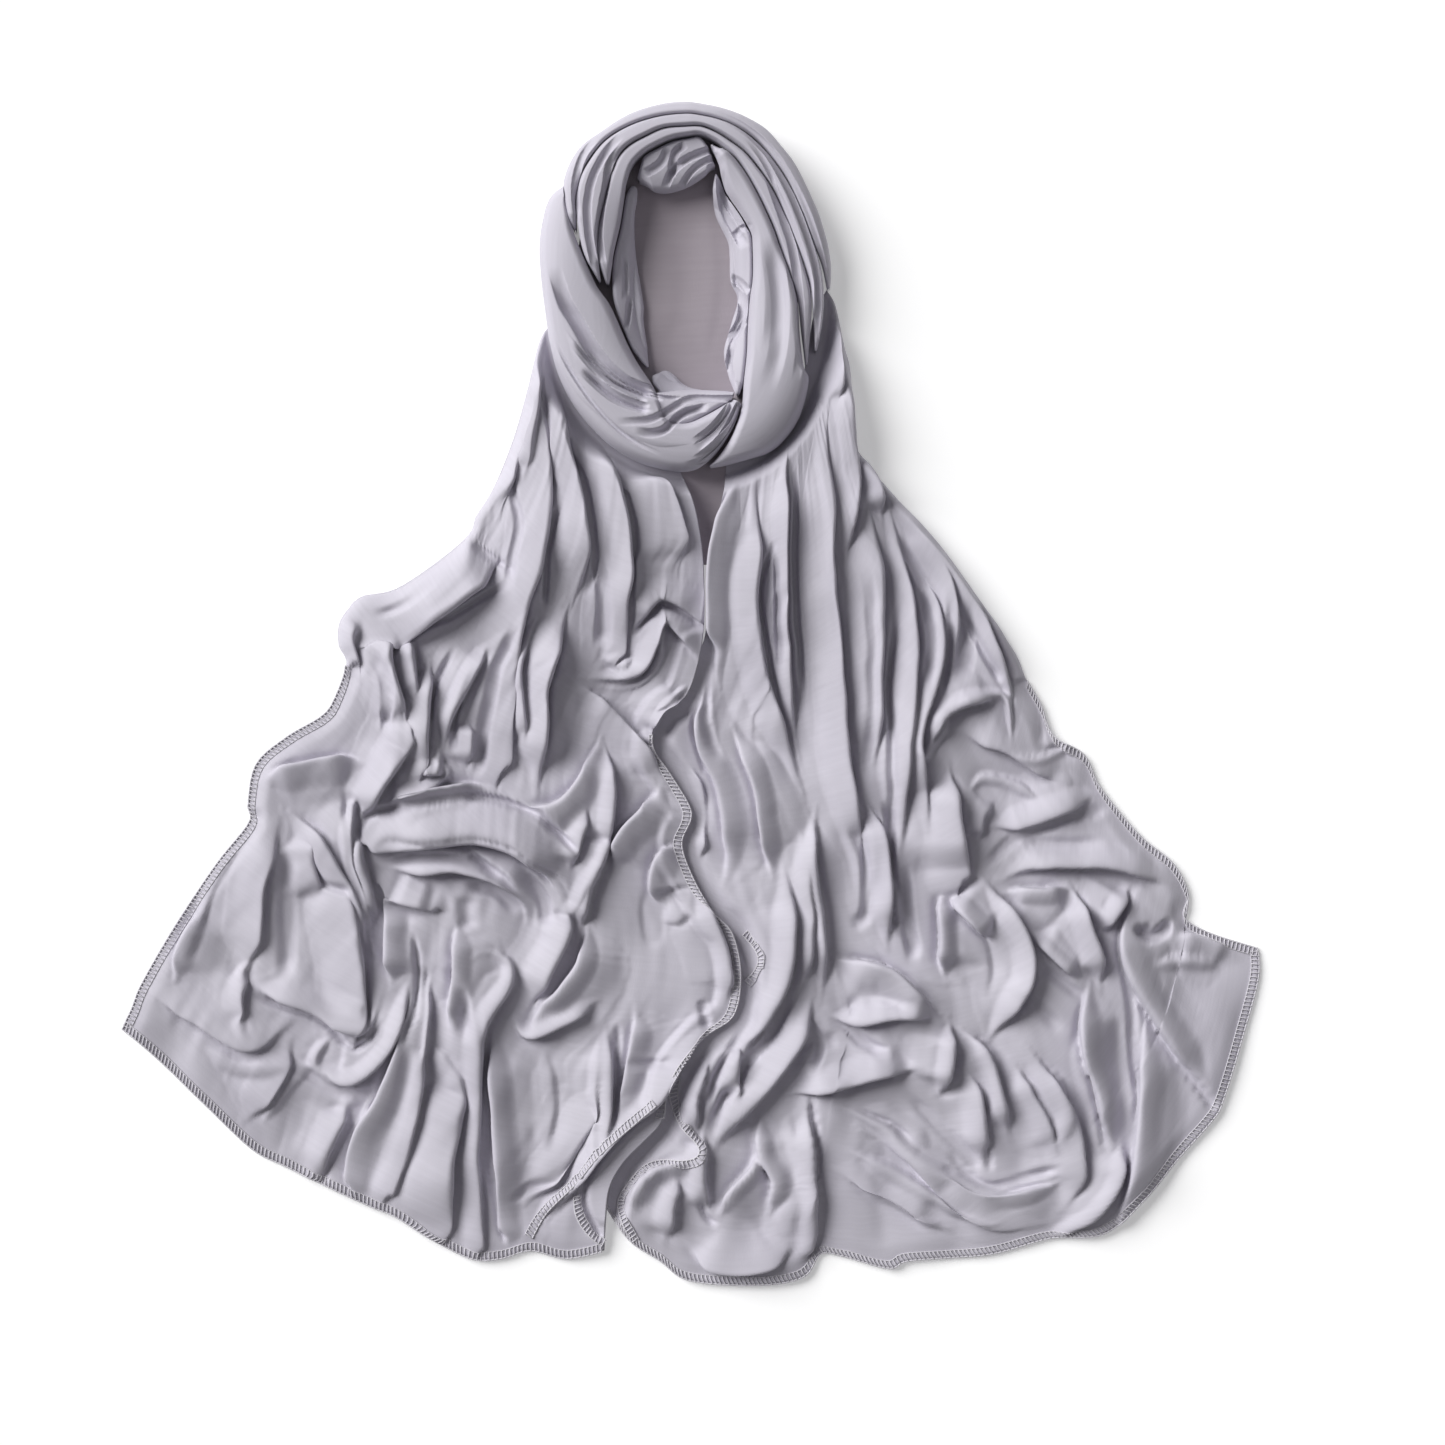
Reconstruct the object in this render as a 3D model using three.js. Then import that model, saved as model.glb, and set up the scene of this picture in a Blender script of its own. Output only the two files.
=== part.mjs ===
// A rectangular jersey headscarf, laid out flat: the middle is wound into a ring with a face opening, and the two
// ends are spread below it in loose folds. Millimetres, +Z up, +Y towards the crown of the ring.
import * as THREE from "three";

// Places are written on a drafting grid of 7 mm squares, x to the right and y down the sheet. DATUM is the grid
// place of the part's origin, the middle of the laid-out cloth on the surface that it lies on.
const SQUARE = 7;
const DATUM = { x: 69.1, y: 69.7 };

const CLOTH = 1.5; // wall of the tails and of the hood's back
const STEEPEST = 2.6; // a sloping wall is at most this many times as deep as it is thick
const REST_GAP = 0.4; // clear height where one stretch lies on another
const LAP_LAID = 9.6; // the lifted cloth stays above the lower one out to here
const TUCK = 6; // width over which the lifted cloth comes back down
const TURN = 7; // width of the rounding where a fold makes the outline
const BLEND = 1.0; // soft joining of two folds that touch
const RING_HIGH = 38; // wound ring, from its flat underside to the top of its arch
const RING_BELLY = 0.18; // share of that height down to which the sides of a stretch reach
const RING_HALF = 36; // from the top of the arch to where it meets the surface
const RING_POINTS = 6; // faces across the top of a stretch
const RING_ROUND = 1.6; // height of a stretch's rounded edge over its width
const DRAWN_IN = 3; // how far a stretch's foot lies inside its widest outline
const UNDER_RING = 30; // the tails lie flat from the ring's crest out to here,
const RING_CLEAR = 16; // and rise to their full relief over this width
const LAP_LIFT = 3.1; // how far the front edge is lifted over the cloth that it lies on
const LAP_WIDE = 18; // width of the cloth that is lifted
const LAP_CLEAR = 7; // beside the lap the lower cloth lies flat this far,
const LAP_RISE = 10; // and rises to its full relief over this width
const HEM_LOW = 0.35; // share of the relief that is left at a raw outer edge,
const END_LOW = 0.6; // and at the end of a tail

const place = (x, y) => new THREE.Vector2((x - DATUM.x) * SQUARE, (DATUM.y - y) * SQUARE);
const clamp = (x, low, high) => Math.min(high, Math.max(low, x));
const ease = (t) => {
  const s = clamp(t, 0, 1);
  return s * s * (3 - 2 * s);
};
const blendMax = (a, b) => {
  const near = Math.max(BLEND - Math.abs(a - b), 0) / BLEND;
  return Math.max(a, b) + (near * near * BLEND) / 4;
};

// A smooth line through places given as x, y, x, y on the drafting grid.
function lineThrough(path, steps = 6) {
  const points = [];
  for (let i = 0; i < path.length; i += 2) points.push(place(path[i], path[i + 1]));
  return new THREE.SplineCurve(points).getPoints((points.length - 1) * steps);
}

// Where a point lies beside a line: how far off, on which hand, and how far along as a share.
function beside(line, x, y) {
  let best = { off: Infinity, hand: 1, along: 0 };
  let done = 0;
  for (let i = 0; i + 1 < line.length; i += 1) {
    const dx = line[i + 1].x - line[i].x;
    const dy = line[i + 1].y - line[i].y;
    const long = Math.hypot(dx, dy);
    const t = clamp(((x - line[i].x) * dx + (y - line[i].y) * dy) / (long * long), 0, 1);
    const off = Math.hypot(x - line[i].x - t * dx, y - line[i].y - t * dy);
    if (off < best.off) {
      const hand = dx * (y - line[i].y) - dy * (x - line[i].x) >= 0 ? 1 : -1;
      best = { off, hand, along: done + t * long };
    }
    done += long;
  }
  best.along /= done;
  return best;
}

// The columns of every fold table. path is the crest, walked from its first place to its last. left and right are
// the reaches on the walker's two hands in mm, high is the height in mm, spread is the width at the end over the
// width at the start, and fadeIn and fadeOut are the shares of the length in which the fold rises and dies away.
const GENTLE = 1.7; // a fold's gentle side runs on this many times as far as its row says,
const EVEN = 0.7; // and both sides do where the shorter reach is over this share of the longer
const COLUMNS = ["path", "left", "right", "high", "spread", "fadeIn", "fadeOut"];

function foldsOf(rows) {
  return rows.map((row) => {
    const fold = Object.fromEntries(COLUMNS.map((name, i) => [name, row[i]]));
    fold.line = lineThrough(fold.path);
    const even = Math.min(fold.left, fold.right) > EVEN * Math.max(fold.left, fold.right);
    if (fold.high > 0 && (even || fold.left >= fold.right)) fold.left *= GENTLE;
    if (fold.high > 0 && (even || fold.left < fold.right)) fold.right *= GENTLE;
    fold.reach = Math.max(fold.left, fold.right) * Math.max(1, fold.spread);
    fold.box = new THREE.Box2().setFromPoints(fold.line).expandByScalar(fold.reach);
    return fold;
  });
}

// The height of one fold at a point: a firm round edge where it is narrow for its height, a soft one where wide.
const FIRM_FROM = 1.5;
const FIRM_REACH = 1.6;
function foldHeight(fold, x, y) {
  if (!fold.box.containsPoint(new THREE.Vector2(x, y))) return 0;
  const at = beside(fold.line, x, y);
  const reach = (at.hand > 0 ? fold.left : fold.right) * (1 + (fold.spread - 1) * at.along);
  const t = 1 - at.off / reach;
  if (t <= 0) return 0;
  const firm = clamp(FIRM_FROM - reach / (FIRM_REACH * Math.abs(fold.high)), 0, 1);
  const round = Math.sqrt(1 - (1 - t) * (1 - t));
  const rise = fold.fadeIn > 0 ? ease(at.along / fold.fadeIn) : 1;
  const fall = fold.fadeOut > 0 ? ease((1 - at.along) / fold.fadeOut) : 1;
  return fold.high * rise * fall * (firm * round + (1 - firm) * ease(t));
}

// Rolls stand beside each other and the highest one shows. Swells are added, and a negative one is a trough.
function relief(rolls, swells, x, y) {
  let high = 0;
  for (const roll of rolls) {
    const h = foldHeight(roll, x, y);
    if (h > 0) high = blendMax(high, h);
  }
  for (const swell of swells) high += foldHeight(swell, x, y);
  return high;
}

// Left tail. Its outline is walked from the ring: down the outer side, along the hem, and down the inner side.
const LEFT_TOP = [55.5, 32.4, 56.0, 35.4, 57.4, 39.0, 59.6, 42.0, 62.2, 44.1, 65.0, 45.4, 67.5, 45.9];
const LEFT_OUTER = [
  55.5, 32.4, 54.5, 32.8, 53.7, 34.5, 53.0, 37.5, 51.5, 43.0, 50.0, 47.0, 48.8, 49.5, 47.5, 51.5, 46.8, 53.3,
  44.0, 55.8, 39.5, 58.8, 36.0, 59.6, 34.5, 61.0, 33.7, 62.5, 33.7, 64.5, 34.5, 66.5, 33.3, 70.0, 32.0, 71.7,
  28.5, 73.8, 25.5, 76.5, 24.7, 80.5, 24.8, 82.3, 21.5, 86.5, 17.5, 92.5, 14.0, 98.5, 13.0, 101.0, 12.0, 103.0,
];
const LEFT_HEM = [
  12.0, 103.0, 14.5, 105.0, 20.0, 110.2, 25.0, 115.0, 28.5, 116.8, 32.0, 118.5, 37.0, 120.8, 39.5, 121.8,
  43.0, 124.0, 47.0, 126.0, 50.0, 126.0, 53.0, 125.2, 56.5, 126.0, 60.4, 125.2,
];
const LEFT_INNER = [
  67.5, 45.9, 69.3, 50.1, 70.1, 54.0, 70.4, 57.3, 70.4, 62.5, 69.8, 66.5, 68.6, 69.6, 66.4, 71.2, 65.2, 73.4,
  65.4, 75.2, 66.8, 77.2, 68.8, 80.5, 69.0, 82.0, 68.1, 84.6, 69.6, 88.6, 71.5, 91.5, 73.2, 93.5, 74.0, 97.5,
  73.3, 101.6, 70.5, 103.7, 67.8, 106.8, 66.6, 109.7, 66.2, 112.2, 64.6, 114.0, 62.4, 116.2, 61.0, 118.8,
  60.6, 122.0, 60.4, 125.2,
];
// The overlocked front edge of the left tail, where it lies on the right tail.
const FRONT_EDGE = [
  70.1, 65.0, 68.6, 69.6, 66.4, 71.2, 65.2, 73.4, 65.4, 75.2, 66.8, 77.2, 68.8, 80.5, 69.0, 82.0, 68.1, 84.6,
  69.6, 88.6, 71.5, 91.5, 73.2, 93.5, 74.0, 97.5, 73.3, 101.6, 70.5, 103.7, 67.8, 106.8, 66.6, 109.7,
  66.2, 112.2, 64.6, 114.0, 62.4, 116.2, 61.0, 118.8, 60.8, 120.4,
];

// Right tail, walked the same way: down its inner side, along the hem, and down the outer side.
const RIGHT_TOP = [
  72.6, 45.9, 75.0, 45.2, 77.2, 43.8, 79.0, 41.6, 80.0, 38.8, 80.8, 35.2, 81.4, 31.4, 82.7, 28.8,
];
const RIGHT_OUTER = [
  82.7, 28.8, 83.6, 30.4, 84.5, 34.5, 85.1, 37.0, 85.5, 43.0, 86.2, 45.5, 90.0, 50.0, 94.0, 54.5, 98.0, 60.0,
  101.5, 65.0, 102.8, 68.0, 104.2, 70.5, 105.5, 73.7, 108.5, 75.5, 110.0, 78.5, 112.0, 81.2, 114.5, 84.0,
  117.5, 86.5, 119.0, 89.5, 118.6, 91.8, 121.0, 93.4, 126.0, 95.0,
];
const RIGHT_HEM = [
  60.6, 121.0, 63.0, 124.2, 66.0, 126.2, 69.0, 128.2, 76.0, 128.6, 80.4, 127.8, 82.0, 125.6, 84.0, 125.7,
  89.0, 127.0, 91.0, 126.2, 99.0, 125.6, 105.0, 124.0, 110.5, 123.5, 114.5, 120.0, 117.5, 116.5, 121.5, 112.0,
  122.5, 110.0, 124.5, 103.5, 126.0, 98.0, 126.0, 95.0,
];
const RIGHT_INNER = [
  72.6, 45.9, 72.4, 49.0, 71.4, 53.5, 70.9, 57.5, 70.7, 61.5, 70.3, 64.2, 68.9, 66.6, 67.0, 69.2, 64.8, 71.4,
  63.9, 73.8, 64.4, 76.6, 66.0, 79.4, 67.4, 82.0, 66.9, 84.6, 68.4, 88.6, 70.1, 91.4, 71.7, 94.0, 72.5, 97.4,
  71.8, 100.4, 69.2, 102.6, 66.6, 105.8, 65.3, 109.2, 64.7, 111.6, 63.4, 113.2, 61.3, 115.4, 59.8, 118.2,
  60.6, 121.0,
];

const LEFT_ROLLS = [
  [[53.6, 37.0, 52.4, 41.0, 50.8, 45.5, 50.2, 49.0, 50.0, 52.0], 6, 9, 9, 1.2, 0.2, 0.3],
  [[54.4, 35.0, 53.6, 40.0, 52.5, 45.0, 52.1, 50.0], 4, 6, 10, 1, 0.1, 0.3],
  [[54.6, 36.0, 54.0, 44.0, 53.8, 50.0, 53.0, 56.0, 51.4, 60.5, 50.4, 65.0, 49.8, 70.0, 49.6, 76.0],
    9, 9, 13, 1.3, 0.1, 0],
  [[55.2, 36.0, 56.0, 43.0, 57.2, 50.0, 57.8, 56.0, 57.2, 60.5], 6, 5, 14, 2.1, 0.1, 0.15],
  [[57.0, 60.0, 54.8, 65.0, 53.6, 69.0, 53.9, 74.0, 53.8, 79.5], 10, 10, 16, 0.7, 0.1, 0.05],
  [[53.6, 62.0, 51.8, 66.0, 51.7, 70.0, 52.4, 74.0, 52.9, 76.2], 4, 4, 12, 1, 0.2, 0.1],
  [[58.4, 41.5, 60.4, 46.5, 62.0, 52.0, 62.4, 57.0, 62.0, 61.0, 61.8, 65.2], 6, 13, 12, 0.85, 0.15, 0],
  [[63.5, 46.0, 66.0, 51.0, 67.6, 58.0], 16, 16, 6, 1.3, 0.2, 0.3],
  [[63.6, 63.4, 64.5, 60.8, 66.6, 59.3, 70.4, 61.5], 13, 4, 10, 1, 0.2, 0],
  [[58.5, 67.9, 61.5, 67.6, 64.2, 66.8, 65.4, 64.4, 66.0, 62.4, 67.0, 61.8, 69.2, 64.5, 70.2, 66.6],
    4, 5, 10, 1, 0.2, 0.1],
  [[57.4, 68.0, 60.5, 71.0, 64.0, 75.0, 66.6, 78.4], 6, 7, 9, 1, 0.2, 0.1],
  [[60.2, 73.5, 59.3, 77.5, 57.5, 80.0, 54.5, 81.3, 51.0, 80.8], 10, 6, 10, 1, 0.2, 0.2],
  [[60.5, 74.5, 61.0, 80.0, 60.2, 86.0], 4, 8, 11, 1, 0.2, 0.2],
  [[66.2, 78.6, 65.4, 81.4, 62.8, 84.2, 61.0, 87.4], 12, 8, 11, 0.8, 0.2, 0.2],
  [[65.4, 73.8, 66.6, 71.6, 69.0, 69.8], 7, 4, 7, 1, 0.2, 0.2],
  [[38.6, 63.0, 42.0, 60.4, 46.0, 57.6, 50.4, 55.0], 17, 18, 17, 0.95, 0, 0.15],
  [[38.4, 61.5, 38.2, 66.0, 39.4, 70.0, 40.8, 73.6], 11, 10, 16, 0.6, 0.1, 0.1],
  [[36.0, 61.0, 34.9, 64.0, 36.2, 68.5], 5, 6, 9, 1, 0.2, 0.3],
  [[40.2, 63.0, 41.0, 67.0, 41.6, 71.0], 4, 4, 12, 1, 0.2, 0.2],
  [[42.8, 66.0, 42.4, 70.0, 41.8, 74.0, 41.7, 77.0], 5, 5, 13, 1.2, 0.2, 0],
  [[41.6, 77.2, 44.4, 77.4], 5, 3, 11, 0.8, 0, 0.1],
  [[38.4, 80.2, 42.0, 79.1, 44.6, 78.0], 4, 5, 9, 1, 0.1, 0.1],
  [[48.8, 63.5, 46.6, 68.0, 44.7, 72.0, 43.9, 75.4], 4, 8, 12, 0.8, 0.2, 0.1],
  [[46.6, 72.0, 46.3, 77.0], 7, 6, 8, 1, 0.3, 0.2],
  [[37.4, 81.2, 42.0, 80.0, 46.0, 79.4, 49.4, 79.0], 5, 9, 11, 1, 0.1, 0.1],
  [[40.4, 74.0, 38.6, 77.0, 36.8, 80.2, 35.9, 82.4], 7, 8, 14, 0.8, 0, 0.1],
  [[36.2, 78.5, 34.8, 81.5, 34.5, 85.0, 35.6, 89.5, 37.3, 95.0], 3, 5, 11, 1, 0.1, 0.1],
  [[35.8, 82.0, 35.6, 85.0, 36.5, 89.0, 37.6, 93.0], 3, 3, 12, 1, 0.1, 0.2],
  [[37.4, 84.2, 42.0, 83.8, 47.0, 83.2, 51.6, 84.2, 54.8, 86.8, 56.0, 90.0], 10, 13, 16, 0.9, 0, 0.1],
  [[37.6, 86.6, 42.0, 86.9, 46.0, 86.6, 50.0, 87.5, 52.3, 89.6, 52.6, 92.5], 6, 8, 12, 0.9, 0.1, 0.2],
  [[38.8, 89.0, 41.0, 90.0, 43.0, 90.6], 7, 9, 11, 0.6, 0, 0],
  [[39.0, 90.0, 39.2, 94.0, 38.8, 98.5], 9, 6, 11, 1, 0, 0.2],
  [[45.4, 92.0, 45.8, 96.0, 45.6, 100.0, 45.6, 104.0], 9, 4, 10, 1, 0.1, 0.2],
  [[46.5, 96.4, 48.5, 95.4, 50.6, 96.4, 50.9, 98.2, 49.5, 100.5, 48.3, 103.0, 47.6, 107.0, 47.3, 113.0,
    47.3, 119.0, 47.6, 125.0], 4, 4, 11, 1.5, 0.05, 0],
  [[27.5, 82.5, 25.6, 88.0, 24.9, 93.0, 24.2, 97.5], 10, 8, 7, 1, 0.2, 0.2],
  [[29.8, 83.0, 30.6, 87.0, 31.8, 90.6], 7, 7, 8, 1, 0.2, 0.1],
  [[28.5, 81.2, 31.0, 84.0, 33.5, 87.6, 35.0, 91.0, 36.2, 95.5], 7, 6, 11, 1, 0.2, 0.1],
  [[25.8, 78.0, 31.0, 76.9, 36.4, 76.4], 6, 13, 9, 1, 0.1, 0.2],
  [[34.0, 91.0, 34.5, 97.0, 34.9, 102.4], 12, 12, 12, 0.9, 0.2, 0],
  [[24.5, 98.4, 28.0, 99.8, 32.0, 101.2, 34.4, 103.0, 36.4, 102.2, 37.9, 99.5], 13, 3.5, 10, 1, 0.1, 0.1],
  [[19.9, 90.5, 18.6, 94.5, 17.4, 98.5], 8, 4, 5, 1, 0.3, 0.3],
  [[14.6, 99.6, 19.0, 101.3, 23.0, 103.8, 25.5, 104.2, 29.0, 102.4], 9, 7, 6, 1, 0.2, 0.2],
  [[24.4, 96.6, 23.4, 99.6, 23.8, 103.2], 4, 9, 8, 1, 0.2, 0.1],
  [[30.5, 105.9, 33.6, 107.8, 36.6, 106.7, 39.0, 104.0, 40.2, 100.4, 40.9, 97.6], 8, 4, 10, 1, 0.1, 0.1],
  [[28.8, 104.5, 27.3, 108.0, 24.6, 112.0], 8, 7, 5, 1, 0.2, 0.3],
  [[34.4, 110.2, 33.0, 114.0, 31.4, 118.0], 4, 15, 9, 1, 0.2, 0],
  [[41.3, 98.5, 40.6, 104.0, 38.4, 109.2, 36.2, 113.2, 35.2, 118.0], 11, 3.5, 10, 1.4, 0.1, 0],
  [[42.6, 96.0, 42.6, 101.0, 42.1, 106.5, 41.5, 111.0, 40.4, 115.0, 38.8, 119.0], 4, 5, 10, 1.4, 0.2, 0],
  [[46.4, 106.5, 44.6, 113.0, 43.6, 118.0, 43.0, 123.0], 9, 9, 12, 1.7, 0.1, 0],
  [[49.3, 102.5, 49.5, 109.0, 50.1, 116.0, 50.5, 123.0], 12, 4, 11, 1, 0.1, 0],
  [[60.0, 108.5, 57.4, 113.0, 54.6, 117.2, 52.4, 121.0], 9, 14, 8, 1, 0.2, 0.2],
  [[60.4, 102.5, 60.8, 107.5, 60.4, 112.5, 58.8, 117.0], 4, 8, 10, 1, 0.1, 0.2],
  [[56.8, 90.0, 56.3, 94.0, 54.2, 98.0, 52.9, 101.0], 6, 8, 13, 1, 0.1, 0.1],
  [[58.7, 92.5, 58.8, 96.0, 56.8, 99.2, 54.0, 101.6, 52.4, 102.8], 8, 5, 12, 1, 0.1, 0.1],
  [[51.4, 101.8, 53.0, 103.2, 56.5, 101.8, 60.0, 100.0], 8, 4, 10, 1, 0.2, 0.2],
  [[61.3, 82.0, 60.2, 86.0, 58.1, 89.0, 56.8, 92.5], 3, 4, 11, 1, 0.2, 0.1],
  [[60.4, 86.2, 58.8, 89.0, 58.1, 93.0], 4, 3, 11, 1, 0.2, 0.1],
  [[58.8, 80.6, 57.3, 84.0, 56.7, 87.0], 5, 5, 9, 1, 0.2, 0.2],
  [[68.0, 84.2, 66.0, 86.2, 65.3, 89.2, 66.4, 91.0], 13, 3.5, 8, 1, 0.1, 0.3],
  [[69.4, 88.6, 72.2, 94.0, 73.0, 98.0, 72.4, 101.2], 3, 9, 7, 1, 0.2, 0.1],
  [[72.2, 101.4, 69.4, 104.3, 66.9, 107.4, 65.2, 110.0, 62.0, 112.6, 58.8, 116.0, 56.6, 119.4,
    54.4, 122.8], 5, 9, 10, 1, 0.1, 0.1],
  [[63.2, 100.5, 63.6, 104.0, 63.0, 109.0, 61.8, 112.0], 10, 4, 8, 1, 0.1, 0.2],
];
const LEFT_SWELLS = [
  [[60.0, 68.0, 57.6, 73.0, 56.2, 78.0], 14, 14, -3, 1, 0.3, 0.3],
  [[46.5, 89.0, 46.6, 93.5], 10, 10, -3, 1, 0.3, 0.3],
  [[64.8, 89.6, 65.6, 94.2], 9, 6, -4, 1, 0.2, 0.2],
  [[66.4, 92.2, 68.6, 91.6], 7, 7, 4, 1, 0.3, 0.3],
];

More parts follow.
